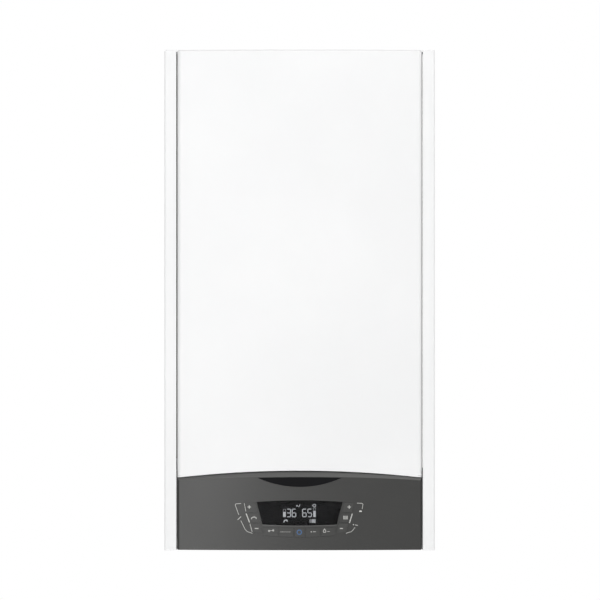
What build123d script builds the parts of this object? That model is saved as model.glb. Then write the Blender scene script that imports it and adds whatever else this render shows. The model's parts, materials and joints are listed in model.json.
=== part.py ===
"""A wall-hung condensing combi boiler, as an assembly of separate pieces.

Millimetres. X runs to the right as the front is seen, Y runs into the wall, Z is up.
The origin is on the wall face, midway between the two wall screws of the hanging bracket.
Heights in this file are counted from the casing's lower edge; up() turns one into a z.
Depths are counted from the wall face towards the room, so a depth's y is its negative.
"""

from build123d import *
import math
import os

# ------------------------------------------------------------------ casing
casing_width = 400.0
casing_height = 740.0
casing_depth = 319.0  # wall face to the crest of the bowed front
front_bow = 14.0  # crest of the bow ahead of the side strips
sheet = 1.2  # casing and frame steel
fixing_drop = 60.0  # wall screws below the casing's top edge
strip_width = 17.5  # front strip of a side panel
strip_hem = 12.0  # depth of the strip's folded inner edge
side_radius = 3.0
side_top_return = 12.0
front_gap = 1.5  # between a side strip and the cover or facia
seat_gap = 0.3  # between pieces that part by hand
turning_gap = 0.05  # round a shaft in its bore
overrun = 1.0  # how far a cut runs past what it cuts
overlap = 1.0  # how far two forms of one piece run into each other

# ------------------------------------------------------------------ front cover
cover_edge_radius = 7.0
cover_top_radius = 2.5
cover_side_depth = 11.0
cover_top_depth = 34.0
cover_foot_depth = 8.0
cover_arch_crown = 118.2  # height of the cover's lower edge at the middle
arch_drop = 10.6  # how far the arch falls at the cover's sides
hook_x = 110.0
hook_width = 30.0
hook_drop = 8.8
hook_play = 0.6  # between a hook and the lip that it hangs behind
screw_inset = 16.0  # screw axis inside the cover's side
screw_setback = 17.0  # screw axis behind the side strips' face
screw_radius = 2.0
screw_head = 4.0
screw_slot_depth = 1.5
screw_slot_width = 0.8
stud_rise = 6.0  # screw above the cover's tab
tab_half = 10.0
tab_reach = 9.0  # tab behind the screw
tab_height = 111.0

# ------------------------------------------------------------------ frame
wall_gap = 14.0  # wall face to the frame's back sheet
frame_depth = 92.0
frame_foot = 6.0
rail_spread = 70.0  # rails above and below the exchanger's axis
rail_width = 26.0
rail_thickness = 1.5
top_recess = 12.0  # top plate below the casing's top edge
base_height = 32.0  # underside of the base plate
base_front = 180.0
base_flange = 20.0
bracket_width = 320.0
bracket_height = 52.0
bracket_below = 16.0  # bracket below the wall screws
bracket_thickness = 2.0
slot_spacing = 250.0
slot_length = 20.0
slot_radius = 4.0
tongue_x = 90.0
tongue_width = 26.0
tongue_rise = 26.0  # tongue's top above the wall screws
tongue_tip = 10.0
tongue_play = 2.0
crossbar_height = 24.0
crossbar_thickness = 1.5
crossbar_rear = 12.0  # its rear flange behind the cover screws
crossbar_gap = 1.0  # behind the hems of the side panels

# ------------------------------------------------------------------ facia
panel_gap = 1.2  # between the cover's arch and the facia
facia_wall = 2.5
facia_foot = 0.6
facia_depth = 30.0
facia_corner = 4.0
foot_corner = 2.0
shelf_gap = 1.0  # between the facia's shelf and the screw heads
bevel_rise = 8.0  # height of the sloping top edge at the middle
bevel_depth = 3.6  # how far it leans back there
bevel_drop = 5.8
boss_radius = 4.0
boss_inset = 10.0  # facia bosses from the control box's edges
boss_side = 26.0
badge_half = 63.0
badge_gap = 0.6  # under the bevel
badge_height = 14.4
badge_end_drop = 0.7
badge_depth = 1.6
insert_gap = 0.15
window_top_half = 63.5
window_foot_half = 55.0
window_top = 71.9
window_foot = 38.6
window_crown = 2.4
window_sag = 1.6
window_recess = 0.2
window_flange = 1.2
window_flange_depth = 0.8

# ------------------------------------------------------------------ keys
column_top = 70.3  # side keys: outer and inner slanted lines, as x at two heights
column_foot = 26.5
column_outer_top = 80.4
column_outer_foot = 68.4
column_inner_top = 66.0
column_inner_foot = 54.8
row_half = 52.9  # lower keys
row_top = 34.4
row_foot = 22.4
row_sag = 2.6
middle_key = 15.0
key_spacing = 1.5  # between neighbouring caps
key_gap = 0.25
key_lip = 0.55
key_proud = 0.5
key_depth = 4.0
key_corner = 1.2
key_travel = 0.7
switch_gap = 0.2  # left between a pressed key and its switch
switch_body = 6.0
switch_height = 1.9
switch_radius = 1.6

# ------------------------------------------------------------------ boards and display
board_setback = 9.4  # key board's front face behind the facia's crest
board_thickness = 1.6
board_half = 86.0
board_bottom = 19.0
board_top = 77.0
peg_inset = 5.0
peg_radius = 2.5
lcd_half = 52.0
lcd_thickness = 4.6
lcd_margin = 1.5
lcd_step = 0.8
main_board_gap = 7.6  # main board behind the control box's front wall
main_peg_radius = 3.0
main_board_side = 14.0  # main board inside the control box's sides
main_board_edge = 8.0
transformer = (40.0, 34.0, 34.0)  # width, depth, height
relay = (18.0, 15.0, 16.0)
relay_count = 4
capacitor_radius = 6.5
capacitor_length = 22.0
capacitor_count = 3
plug_socket = (20.0, 11.0, 12.0)
plug_count = 9
processor = (50.0, 4.0, 24.0)
component_pitch = 4.0  # between neighbouring components

# ------------------------------------------------------------------ control box
box_setback = 19.0  # its front wall behind the facia's crest
box_side = 22.8  # its sides inside the side panels
box_bottom = 14.0
box_top = 84.0
box_wall = 2.4
box_corner = 4.0
box_rear_gap = 12.0  # to the base plate's front edge
lid_thickness = 2.0
lid_rim = 4.0
lid_rim_wall = 1.6
vent_slots = 12
vent_slot_width = 3.0
vent_slot_height = 26.0
vent_slot_pitch = 8.0
vent_slot_side = 40.0
vent_slot_top = 16.0
cable_hole_radius = 8.0
cable_hole_pitch = 30.0
cable_hole_count = 3
cable_hole_edge = 26.0  # last hole from the box's side
cable_hole_height = 16.0
pivot_setback = 50.0  # the hinge behind the control box's front wall
pivot_height = 22.0
pivot_radius = 4.0
pivot_gap = 0.08
pivot_overhang = 1.0
collar_radius = 7.0
ear_side = 14.2  # hinge ears inside the side panels
ear_thickness = 2.0
ear_reach = 12.0

# ------------------------------------------------------------------ pipe tails
tail_side = 70.0  # outer tails inside the casing's sides
tail_depth = 95.0
tail_foot = 3.0
thread_length = 18.0
hex_height = 8.0
hex_land = 2.5  # hexagon's flat beyond the thread
heating_thread = 13.22  # G 3/4, outside radius
water_thread = 10.48  # G 1/2, outside radius
heating_bore = 10.0
water_bore = 7.5
neck_wall = 1.5
hole_gap = 1.0
gland_bore = 4.0
gland_radius = 8.0
gland_side = 26.8  # glands inside the side panel
gland_depths = (58.0, 90.0)
gland_cap = 14.0
gland_nut = 5.0
gland_locknut = 4.0
gland_cap_step = 2.0  # cap and locknut beyond the thread
gland_land = 3.0  # nut's flat beyond the thread

# ------------------------------------------------------------------ hydraulic groups
plates_depth = 118.0  # the plate exchanger's rear face
plates_thickness = 50.0
plates_inset = 23.0  # stack's left end inside the flow tail
plates_short = 2.0  # stack's right end short of the cold tail
plates_bottom = 52.0
plates_height = 70.0
plates_corner = 18.0
plate_count = 12
lamella_step = 1.5
lamella_share = 0.6  # of the pitch from one lamella to the next
port_inset = 18.0
port_rise = 12.0  # ports inside the stack's upper and lower edges
arm_radius = 13.0
arm_inset = 1.0  # pump's inlet arm behind the volute's face
column_radius = 20.0
water_column_radius = 17.0
casting_boss = 8.0
spigot_radius = 12.0
relief_offset = 32.0  # relief valve beside the flow column
relief_radius = 10.0
relief_depth = 150.0
relief_nose_radius = 6.0
relief_nose = 6.0
relief_knob_radius = 15.0
relief_knob_length = 18.0
relief_knob_gap = 3.0  # above the plate exchanger
knob_flutes = 10
knob_flute_radius = 4.0
flow_spigot_offset = 11.0  # beside the hot water column
flow_spigot_rise = 25.0
stem_radius = 4.0
stem_gap = 0.06
stem_travel = 6.0
stem_below = 28.0
stem_above = 8.0
stem_collar = 3.0
stem_collar_gap = 2.0  # above the block when the stem is down
stem_collar_height = 4.0
block_rise = 20.0  # diverter block above the relief valve
yoke_height = 16.0
yoke_spread = 14.0
yoke_leg = 5.0
yoke_depth = 12.0
actuator_half = 21.0
actuator_shift = 4.0
actuator_height = 46.0
actuator_corner = 6.0
actuator_cap_radius = 15.0
actuator_cap = 4.0
pump_clear = 7.0  # pump above the return arm
volute_radius = 40.0
volute_rear = 62.0
volute_front = 104.0
volute_wall = 6.0
volute_cavity = 30.0
pump_front = 170.0
pump_can_radius = 44.0
pump_cap_step = 5.0
pump_cap = 6.0
pump_box = (60.0, 46.0, 30.0)  # width, depth, height of its electronics box
pump_box_sink = 10.0
rotor_radius = 30.0
rotor_vanes = 6
rotor_width = 10.0
rotor_setback = 6.0
rotor_plate = 2.0
shaft_seat = 24.0  # length of a shaft inside its motor
shaft_end_gap = 2.0
return_top = 185.0
pipe_gap = 4.0  # between a pipe and the vessel behind it
vent_side = 34.0  # air vent beside the pump's axis
vent_depth = 90.0
vent_neck = 9.0
vent_foot = 168.0
vent_radius = 11.0
vent_body = 30.0
vent_cap = 12.0
vent_cap_radius = 6.0
filling_knob_radius = 12.0
filling_knob_foot = 8.0
filling_knob_height = 12.5
filling_flutes = 8
filling_flute_radius = 3.0
filling_stem = 5.0
filling_seat = 12.0
filling_body = 9.0
pipe_radius = 9.0
pipe_wall = 1.0
gas_radius = 8.0

# ------------------------------------------------------------------ expansion vessel
vessel_half = 150.0
vessel_bottom = 205.0
vessel_drop = 50.0  # vessel's top below the casing's top edge
vessel_front = 75.0
vessel_corner = 40.0
vessel_edge = 14.0
vessel_wall = 1.5
vessel_seam = 4.0  # how far the rolled seam stands out
vessel_seam_width = 3.0
hose_clear = 4.0  # between the vessel's hose and the pump
vessel_port_depth = 45.0
vessel_port_radius = 8.0
vessel_port_drop = 8.0
vessel_spigot_depth = 78.0
vessel_spigot_top = 124.0
hose_radius = 6.0
hose_wall = 1.5
hose_run = 26.0  # straight ends of the vessel's hose
hose_bend = 18.0

# ------------------------------------------------------------------ heat exchanger
can_drop = 240.0  # the exchanger's axis below the casing's top edge
can_radius = 108.0
can_wall = 2.0
can_flange_radius = 118.0
can_flange = 6.0
can_ribs = (34.0, 80.0)  # behind the front flange's seat, from the rear
can_rib = 2.0
can_rib_width = 6.0
coil_tube = 8.0
coil_wall = 1.0
coil_gap = 0.5  # between the coil and the shell
coil_pitch = 19.0
coil_end = 4.0
port_radius = 11.0
port_wall = 2.0
port_reach = 22.0
flow_port_inset = 21.0  # behind the can's front
return_port_inset = 26.0  # ahead of the can's rear
condensate_reach = 12.0
door_thickness = 8.0
door_boss = 6.0
door_boss_radius = 30.0
door_ribs = 6
door_rib = 5.0
door_rib_rise = 3.0
burner_radius = 35.0
burner_wall = 1.0
burner_inset = 52.0  # shorter than the can
stud_circle = 112.0
stud_count = 6
stud_radius = 3.0
stud_gap = 0.3
stud_length = 9.0
nut_half = 5.0
nut_height = 5.5
electrode_radius = 4.0
electrode_gap = 0.2
electrode_offset = 64.0
electrode_spread = 40.0
electrode_collar = 9.0
electrode_collar_height = 3.0
electrode_reach = 16.0
electrode_rod = 1.2
electrode_rod_reach = 24.0

# ------------------------------------------------------------------ flue
flue_depth = 160.0
flue_stub_radius = 40.0
flue_stub_rise = 24.0
flue_bore = 30.3  # takes a 60 mm flue pipe
air_bore = 50.3  # takes a 100 mm air pipe
flue_wall = 2.7
flue_overlap = 18.0  # duct over the exchanger's stub
flue_taper = 18.0
flue_ledge = 2.0
flue_socket = 35.0
duct_drop = 28.0  # duct's mouth below the top plate
air_stop = 1.8  # ledge that the air pipe stands on
air_stop_gap = 2.0  # above the duct's mouth
web_height = 8.0
web_width = 3.0
web_count = 3
collar_flange = 70.0
collar_flange_height = 3.0
test_port_offset = 9.0
test_port_radius = 5.0
test_cap_radius = 6.5
test_cap_step = 0.5

# ------------------------------------------------------------------ fan, mixing and gas
fan_angle = 55.0  # fan's axis below the exchanger's, in degrees from +X
fan_gap = 7.0
fan_rear = 170.0
fan_front = 215.0
fan_radius = 66.0
fan_wall = 3.0
fan_duct_wall = 2.0
fan_inlet_step = 6.0
impeller_radius = 54.0
impeller_blades = 12
impeller_plate = 2.0
impeller_width = 22.0
impeller_eye = 22.0
impeller_hub = 9.0
impeller_gap = 4.0
impeller_nose = 12.0
blade_width = 2.0
blade_inset = 1.0  # blade tips inside the wheel's rim
fan_outlet_half = 18.0
fan_outlet_inset = 1.0
fan_outlet_rise = 90.0
fan_motor_length = 43.0
fan_motor_radius = 42.0
fan_motor_step = 6.0
fan_motor_cap = 5.0
fan_plug = (28.0, 29.0, 8.0)  # width, depth, and reach below the motor
fan_plug_inset = 8.0
flange_thickness = 6.0
flange_land = 7.0
manifold_radius = 18.0
manifold_wall = 2.0
manifold_clear = 17.0  # ahead of the manifold, to the crest of the front
manifold_drop = 34.0  # its front run ahead of the burner door's boss
manifold_turn = 16.0
manifold_bends = (30.0, 36.0, 22.0)
venturi_rear = 126.0
venturi_radius = 30.0
venturi_end = 4.0
intake_x = 20.0
intake_radius = 22.0
intake_wall = 3.0
intake_lip = 5.0
gas_seat_drop = 50.0  # gas valve's outlet below the fan's axis
gas_neck = 25.0
valve_half = 40.0
valve_height = 60.0
valve_rear = 120.0
valve_front = 185.0
valve_corner = 5.0
valve_inlet = 13.0
valve_inlet_depth = 150.0
coil_case_radius = 14.0
coil_case = 20.0
coil_case_cap = 4.0
gas_bend = 24.0
gas_nut_land = 2.0

# ------------------------------------------------------------------ heating pipes and condensate
flow_pipe_side = 27.0
flow_pipe_turns = (0.51, 0.36)  # its two corners, as shares of the way up
flow_pipe_bends = (22.0, 40.0, 40.0)
return_pipe_side = 38.0  # its upright run beyond the exchanger's port
return_pipe_step = 12.0
return_pipe_rise = 65.0
return_pipe_run = 30.0
return_pipe_drop = 40.0
return_pipe_bends = (26.0, 26.0, 40.0, 24.0)
condensate_fall = 45.0
condensate_turn = (-60.0, 200.0)  # x and depth of the hose's corner under the shell
condensate_rise = 55.0
condensate_bends = (40.0, 40.0, 40.0)
trap_margin = 9.8  # trap to side panel
trap_depth = 150.0
trap_radius = 24.0
trap_foot = 60.0
trap_drop = 202.0  # trap's cap below the exchanger
trap_cap = 6.0
trap_cap_step = 1.0
trap_neck = 8.0
trap_ribs = 8
trap_rib_radius = 1.5
trap_rib_top = 84.0
trap_spigot = 10.0
condensate_radius = 8.0
condensate_foot = 11.0
condensate_outlet = 10.0

# ------------------------------------------------------------------ worked out
fixing_height = casing_height - fixing_drop
inner_half = casing_width / 2 - sheet  # inside face of a side panel
strip_face = -(casing_depth - front_bow)  # y of the side strips' front
bow_half = casing_width / 2 - strip_width - front_gap
bow_radius = (bow_half**2 + front_bow**2) / (2 * front_bow)
bow_axis_y = -casing_depth + bow_radius
back_face = -wall_gap - sheet  # y of the frame's back sheet, inside
base_top = base_height + sheet
top_plate_top = casing_height - top_recess
lip_top = casing_height - sheet - seat_gap
cover_rear = strip_face + cover_top_depth  # y of the cover's hooks, behind
screw_x = bow_half - screw_inset
screw_y = strip_face + screw_setback
screw_seat = tab_height - seat_gap - crossbar_thickness
facia_crown = cover_arch_crown - panel_gap
bevel_crown = facia_crown - bevel_rise
bevel_slope = bevel_rise / bevel_depth
facia_rear = strip_face + facia_depth
shelf_rear = screw_y - 2 * screw_radius - shelf_gap
tail_pitch = (casing_width / 2 - tail_side) / 2
tail_xs = [tail_pitch * n for n in (-2, -1, 0, 1, 2)]
flow_x, dhw_x, gas_x, cold_x, return_x = tail_xs
filling_x = (cold_x + return_x) / 2
key_board_y = -casing_depth + board_setback
box_half = inner_half - box_side
box_front = -(casing_depth - box_setback)
box_rear = -(base_front + box_rear_gap)
pivot_y = box_front + pivot_setback
ear_x = inner_half - ear_side
can_height = casing_height - can_drop
can_front = casing_depth - manifold_clear - manifold_radius - manifold_drop - door_boss - door_thickness
can_length = can_front - frame_depth
can_foot = can_height - can_radius
flow_port_depth = can_front - flow_port_inset
return_port_depth = frame_depth + return_port_inset
door_front = -can_front - door_thickness
manifold_seat = door_front - door_boss
manifold_front = manifold_seat - manifold_drop
flue_stub_top = can_height + can_radius + flue_stub_rise
duct_top = top_plate_top - duct_drop
collar_foot = duct_top + air_stop_gap - web_height - flue_ledge
fan_reach = can_radius + can_rib + fan_radius + fan_gap
fan_x = fan_reach * math.cos(math.radians(fan_angle))
fan_height = can_height - fan_reach * math.sin(math.radians(fan_angle))
fan_y = -(fan_rear + fan_front) / 2
fan_outlet_x = fan_x + fan_radius - fan_outlet_half - fan_outlet_inset
fan_outlet_top = fan_height + fan_outlet_rise
venturi_y = -(fan_rear + venturi_rear) / 2
gas_seat = fan_height - gas_seat_drop
valve_top = gas_seat - gas_neck
gas_line = valve_top - valve_height / 2
plates_left = flow_x + plates_inset
plates_right = cold_x - plates_short
plates_top = plates_bottom + plates_height
port_low = plates_bottom + port_rise
port_high = plates_top - port_rise
left_port_x = plates_left + port_inset
right_port_x = plates_right - port_inset
relief_x = flow_x + relief_offset
relief_height = plates_top + relief_knob_radius + relief_knob_gap
block_top = relief_height + block_rise
yoke_top = block_top + yoke_height
stem_foot = block_top - stem_below
flow_spigot_x = dhw_x - flow_spigot_offset
flow_spigot_top = relief_height + flow_spigot_rise
pump_x = return_x
vent_x = pump_x - vent_side
pump_height = port_low + arm_radius + pump_can_radius + pump_clear
return_depth = vessel_front + pipe_radius + pipe_gap
vessel_port_x = pump_x - volute_radius - hose_radius - hose_clear
vessel_top = casing_height - vessel_drop
vessel_port_foot = vessel_bottom - vessel_port_drop
trap_x = -(inner_half - trap_radius - trap_margin)
trap_top = can_foot - trap_drop


def up(height):
    """The z of a height above the casing's lower edge."""
    return height - fixing_height


def block(x, y, z):
    """A rectangular block from (low, high) pairs; z is given as heights."""
    size = [high - low for low, high in (x, y, z)]
    centre = [(low + high) / 2 for low, high in (x, y, z)]
    return Pos(centre[0], centre[1], up(centre[2])) * Box(*size)


def post(x, y, z, radius):
    """An upright cylinder between two heights."""
    return Pos(x, y, up((z[0] + z[1]) / 2)) * Cylinder(radius, z[1] - z[0])


def bar_x(x, y, height, radius):
    """A cylinder along X."""
    return Pos((x[0] + x[1]) / 2, y, up(height)) * Rot(0, 90, 0) * Cylinder(radius, x[1] - x[0])


def bar_y(x, y, height, radius):
    """A cylinder along Y."""
    return Pos(x, (y[0] + y[1]) / 2, up(height)) * Rot(90, 0, 0) * Cylinder(radius, y[1] - y[0])


def hexagon(x, y, z, half_width):
    """An upright hexagonal prism, half_width from its axis to a flat."""
    outline = Plane((x, y, up(z[0]))) * RegularPolygon(half_width, 6, major_radius=False)
    return extrude(outline, z[1] - z[0])


def front_prism(outline, y_front, y_back):
    """An outline drawn in x and height, run from y_front back to y_back."""
    place = Plane((0, y_back, up(0)), x_dir=(1, 0, 0), z_dir=(0, -1, 0))
    return extrude(place * outline, y_back - y_front)


def upright(outline, z):
    """A plan outline raised between two heights."""
    return extrude(Plane((0, 0, up(z[0]))) * outline, z[1] - z[0])


def tube(points, radii, radius, wall=None):
    """A pipe of straight runs and tangent arcs through points given as (x, y, height)."""
    corners = [Vector(x, y, up(height)) for x, y, height in points]
    path = FilletPolyline(*corners, radius=list(radii))
    section = Circle(radius) if wall is None else Circle(radius) - Circle(radius - wall)
    return sweep(Plane(corners[0], z_dir=corners[1] - corners[0]) * section, path=path)


def mirrored(shape):
    """The same shape on the other side of the casing."""
    return mirror(shape, about=Plane.YZ)


def both_sides(x_near, x_far, side):
    """An x range given for the right-hand side, on the side asked for."""
    return sorted((side * x_near, side * x_far))


def turned(shape, x, height, degrees):
    """A shape turned about the Y line through x and height."""
    return Pos(x, 0, up(height)) * Rot(0, degrees, 0) * Pos(-x, 0, -up(height)) * shape


def ring_places(x, y, radius, count):
    """Points evenly spaced on a circle."""
    for n in range(count):
        angle = math.tau * n / count
        yield x + radius * math.cos(angle), y + radius * math.sin(angle)


# ------------------------------------------------------------------ bowed front
def bow_y(x, inset=0.0):
    """The y of the bowed front at x, or of the surface inset behind it."""
    return bow_axis_y - math.sqrt((bow_radius - inset) ** 2 - x**2)


def through_front():
    """A y range that runs past the front pieces on both sides."""
    return -casing_depth - front_bow, cover_rear + front_bow


def bow_band(front, back):
    """The space between two surfaces set that far behind the bowed front."""
    middle = Pos(0, bow_axis_y, up(casing_height / 2))
    shell = Cylinder(bow_radius - front, casing_height) - Cylinder(bow_radius - back, casing_height)
    return (middle * shell) & block((-bow_half, bow_half), through_front(), (0, casing_height))


def front_plan(half, inset, rear, corner):
    """Plan of the bowed front: an arc, two rounded corners and straight sides back to rear."""
    side = bow_y(half, inset)
    outline = make_face(
        ThreePointArc((-half, side), (0, bow_y(0, inset)), (half, side))
        + Polyline((half, side), (half, rear), (-half, rear), (-half, side))
    )
    front_corners = outline.vertices().sort_by(Axis.Y)[:2]
    return fillet(front_corners, corner) if corner > 0 else outline


def arched_outline(crown, drop, limit, half=bow_half + front_gap):
    """The region between an arch, which falls by drop at the cover's sides, and a level limit."""
    radius = (bow_half**2 + drop**2) / (2 * drop)
    edge = crown - radius + math.sqrt(radius**2 - half**2)
    return make_face(
        ThreePointArc((-half, edge), (0, crown), (half, edge))
        + Polyline((half, edge), (half, limit), (-half, limit), (-half, edge))
    )


# ------------------------------------------------------------------ casing pieces
def make_front_cover():
    """The bowed steel cover, with two hooks at the top and two screw tabs at its foot."""
    inner = bow_half - sheet
    beyond = cover_rear + sheet
    outer = upright(front_plan(bow_half, 0, cover_rear, cover_edge_radius), (0, casing_height))
    outer &= front_prism(arched_outline(cover_arch_crown, arch_drop, casing_height), *through_front())
    top_face = outer.faces().sort_by(Axis.Z)[-1]
    outer = fillet([e for e in top_face.edges() if e.center().Y < cover_rear - sheet], cover_top_radius)
    hollow = upright(front_plan(inner, sheet, beyond, cover_edge_radius - sheet), (0, casing_height))
    hollow &= front_prism(
        arched_outline(cover_arch_crown + sheet, arch_drop, casing_height - sheet), *through_front()
    )
    cover = outer - hollow
    cover -= block(
        (-bow_half - overrun, bow_half + overrun), (strip_face + cover_side_depth, beyond),
        (0, casing_height - sheet),
    )
    foot = (0, cover_arch_crown + cover_side_depth)
    cover -= block((-inner, inner), (strip_face + cover_foot_depth, beyond), foot)
    for side in (-1, 1):
        cover += block(
            both_sides(hook_x - hook_width / 2, hook_x + hook_width / 2, side),
            (cover_rear - sheet, cover_rear),
            (casing_height - sheet - hook_drop, casing_height - sheet),
        )
        tab = block(
            both_sides(screw_x - tab_half, inner + sheet / 2, side),
            (bow_y(screw_x, sheet / 2), screw_y + tab_reach),
            (tab_height, tab_height + sheet),
        )
        clear = (tab_height - sheet, tab_height + 2 * sheet)
        cover += tab - post(side * screw_x, screw_y, clear, screw_radius + seat_gap)
    return cover


def make_cover_screws():
    """Two slotted screws, up through the crossbar into the cover's tabs."""
    screws = []
    for x in (-screw_x, screw_x):
        screw = post(x, screw_y, (screw_seat - screw_head, screw_seat), 2 * screw_radius)
        screw += post(x, screw_y, (screw_seat, tab_height + sheet + stud_rise), screw_radius)
        screw -= block(
            (x - 2 * screw_radius, x + 2 * screw_radius),
            (screw_y - screw_slot_width / 2, screw_y + screw_slot_width / 2),
            (screw_seat - screw_head, screw_seat - screw_head + screw_slot_depth),
        )
        screws.append(screw)
    return Compound(screws)


def side_plan(outer, inner, front, corner):
    """Plan of one skin of the side panel, open towards the wall, with its front corner rounded."""
    rear = sheet if inner < casing_width / 2 - strip_width else 0
    corners = [(inner, rear), (outer, rear), (outer, front), (inner, front), (inner, rear)]
    outline = make_face(Polyline(*corners))
    return fillet(outline.vertices().group_by(Axis.Y)[0].sort_by(Axis.X)[-1], corner)


def make_side_panel():
    """The right-hand panel; the left one is its mirror image."""
    outer = casing_width / 2
    strip_edge = outer - strip_width
    panel = upright(side_plan(outer, strip_edge, strip_face, side_radius), (0, casing_height))
    panel -= upright(
        side_plan(inner_half, strip_edge - overrun, strip_face + sheet, side_radius - sheet),
        (0, casing_height - sheet),
    )
    panel -= block(
        (strip_edge - overrun, outer - side_top_return),
        (strip_face + strip_hem, sheet),
        (casing_height - 2 * sheet, casing_height + sheet),
    )
    hem = (strip_face + sheet, strip_face + strip_hem)
    panel += block((strip_edge, strip_edge + sheet), hem, (0, casing_height))
    top_edges = panel.faces().sort_by(Axis.Z)[-1].edges()
    rims = [
        e for e in top_edges
        if e.center().X > outer - side_radius or e.center().Y < strip_face + side_radius
    ]
    return fillet(rims, sheet * 0.9)


def make_top_plate():
    """The recessed top, with upturned edges and the front lip that carries the cover."""
    front = cover_rear - sheet - hook_play - sheet
    low = top_plate_top - sheet
    plate = block((-inner_half, inner_half), (front, 0), (low, top_plate_top))
    plate += block((-inner_half, inner_half), (front, front + sheet), (low, lip_top))
    plate += block((-inner_half, inner_half), (-sheet, 0), (low, lip_top))
    for side in (-1, 1):
        plate += block(both_sides(inner_half - sheet, inner_half, side), (front, 0), (low, lip_top))
    return plate - post(0, -flue_depth, (low - overrun, lip_top), air_bore + flue_wall + hole_gap)


def make_rear_frame():
    """Back sheet with side flanges out to the casing and two rails for the exchanger."""
    low, high = frame_foot, top_plate_top - sheet
    frame = block((-inner_half, inner_half), (back_face, -wall_gap), (low, high))
    hole_top = fixing_height + tongue_rise + seat_gap
    hole_half = tongue_width / 2 + tongue_play
    for side in (-1, 1):
        frame += block(both_sides(inner_half - sheet, inner_half, side), (-frame_depth, 0), (low, high))
        x = side * tongue_x
        frame -= block(
            (x - hole_half, x + hole_half),
            (back_face - overrun, -wall_gap + overrun),
            (hole_top - tongue_tip - 2 * bracket_thickness, hole_top),
        )
    for height in (can_height - rail_spread, can_height + rail_spread):
        frame += block(
            (-inner_half, inner_half),
            (-frame_depth, -frame_depth + rail_thickness),
            (height - rail_width / 2, height + rail_width / 2),
        )
    return frame


def make_wall_bracket():
    """The strip that is screwed to the wall; its upturned tongues carry the boiler."""
    low = fixing_height - bracket_below
    bracket = block(
        (-bracket_width / 2, bracket_width / 2), (-bracket_thickness, 0), (low, low + bracket_height)
    )
    tip = back_face - bracket_thickness - seat_gap
    top = fixing_height + tongue_rise
    for side in (-1, 1):
        x = side * tongue_x
        wide = (x - tongue_width / 2, x + tongue_width / 2)
        bracket += block(wide, (tip, -bracket_thickness / 2), (top - bracket_thickness, top))
        bracket += block(
            wide, (tip - bracket_thickness, tip), (top - bracket_thickness, top + tongue_tip)
        )
        slot = Plane((side * slot_spacing / 2, 0, 0), x_dir=(1, 0, 0), z_dir=(0, -1, 0)) * SlotOverall(
            slot_length, 2 * slot_radius
        )
        bracket -= extrude(slot, bracket_thickness + overrun, both=True)
    return bracket


def make_base_plate():
    """The base, with holes for what passes through and two ears for the panel's hinge."""
    half = inner_half - sheet
    foot = base_height - base_flange
    plate = block((-half, half), (-base_front, back_face), (base_height, base_top))
    plate += block((-half, half), (back_face - sheet, back_face), (foot, base_top))
    for side in (-1, 1):
        plate += block(both_sides(half - sheet, half, side), (-base_front, back_face), (foot, base_top))
        ear = both_sides(ear_x, ear_x + ear_thickness, side)
        arm = block(ear, (pivot_y, -base_front + ear_reach), (pivot_height - ear_reach, base_top))
        arm += bar_x(ear, pivot_y, pivot_height, ear_reach)
        past_ear = both_sides(ear_x - overrun, ear_x + ear_thickness + overrun, side)
        plate += arm - bar_x(past_ear, pivot_y, pivot_height, pivot_radius + pivot_gap)
    hole = (base_height - overrun, base_top + overrun)
    for x in tail_xs:
        plate -= post(x, -tail_depth, hole, tail_sizes(x)[1] + neck_wall + hole_gap)
    plate -= post(trap_x, -trap_depth, hole, condensate_outlet + hole_gap)
    plate -= post(filling_x, -tail_depth, hole, filling_stem + hole_gap)
    for x, y in gland_places():
        plate -= post(x, y, hole, gland_radius + turning_gap)
    return plate


def make_front_crossbar():
    """An angle across the casing that the cover's foot is screwed to."""
    flange_low, flange_top = screw_seat, screw_seat + crossbar_thickness
    rear = screw_y + crossbar_rear
    front = strip_face + strip_hem + crossbar_gap
    bar = block((-inner_half, inner_half), (front, rear), (flange_low, flange_top))
    tall = (flange_low, flange_low + crossbar_height)
    bar += block((-inner_half, inner_half), (rear - crossbar_thickness, rear), tall)
    for side in (-1, 1):
        bar += block(both_sides(inner_half - crossbar_thickness, inner_half, side), (front, rear), tall)
        through = (flange_low - overrun, flange_top + overrun)
        bar -= post(side * screw_x, screw_y, through, screw_radius + turning_gap)
    return bar


# ------------------------------------------------------------------ facia
def bevel_tool(lower=0.0):
    """What the facia's sloping top edge cuts away; it rises backwards, and follows the bow."""
    reach = 2 * facia_depth
    drop = bevel_drop + bevel_slope * front_bow
    outline = arched_outline(bevel_crown - lower, drop, bevel_crown + reach)
    place = Plane(
        (0, -casing_depth - bevel_depth, up(-bevel_rise)), x_dir=(1, 0, 0), z_dir=(0, -1, 0)
    )
    return extrude(place * outline, reach, dir=(0, bevel_depth, bevel_rise))


def four_sided(corners, sag=(0, 0, 0, 0), corner=0.0):
    """A four-sided outline; sag bends each side down in the middle."""
    sides = []
    for (a, b), bend in zip(zip(corners, corners[1:] + corners[:1]), sag):
        middle = ((a[0] + b[0]) / 2, (a[1] + b[1]) / 2 - bend)
        sides.append(ThreePointArc(a, middle, b) if bend else Line(a, b))
    outline = make_face(sum(sides[1:], sides[0]))
    return fillet(outline.vertices(), corner) if corner else outline


def grown(outline, amount):
    """An outline grown, or shrunk, all round with sharp corners kept."""
    return offset(outline, amount, kind=Kind.INTERSECTION)


def window_outline():
    """The display window: wider at the top, its top and lower edges bowed outwards."""
    corners = [
        (-window_foot_half, window_foot), (window_foot_half, window_foot),
        (window_top_half, window_top), (-window_top_half, window_top),
    ]
    return four_sided(corners, sag=(window_sag, 0, -window_crown, 0))


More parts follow.
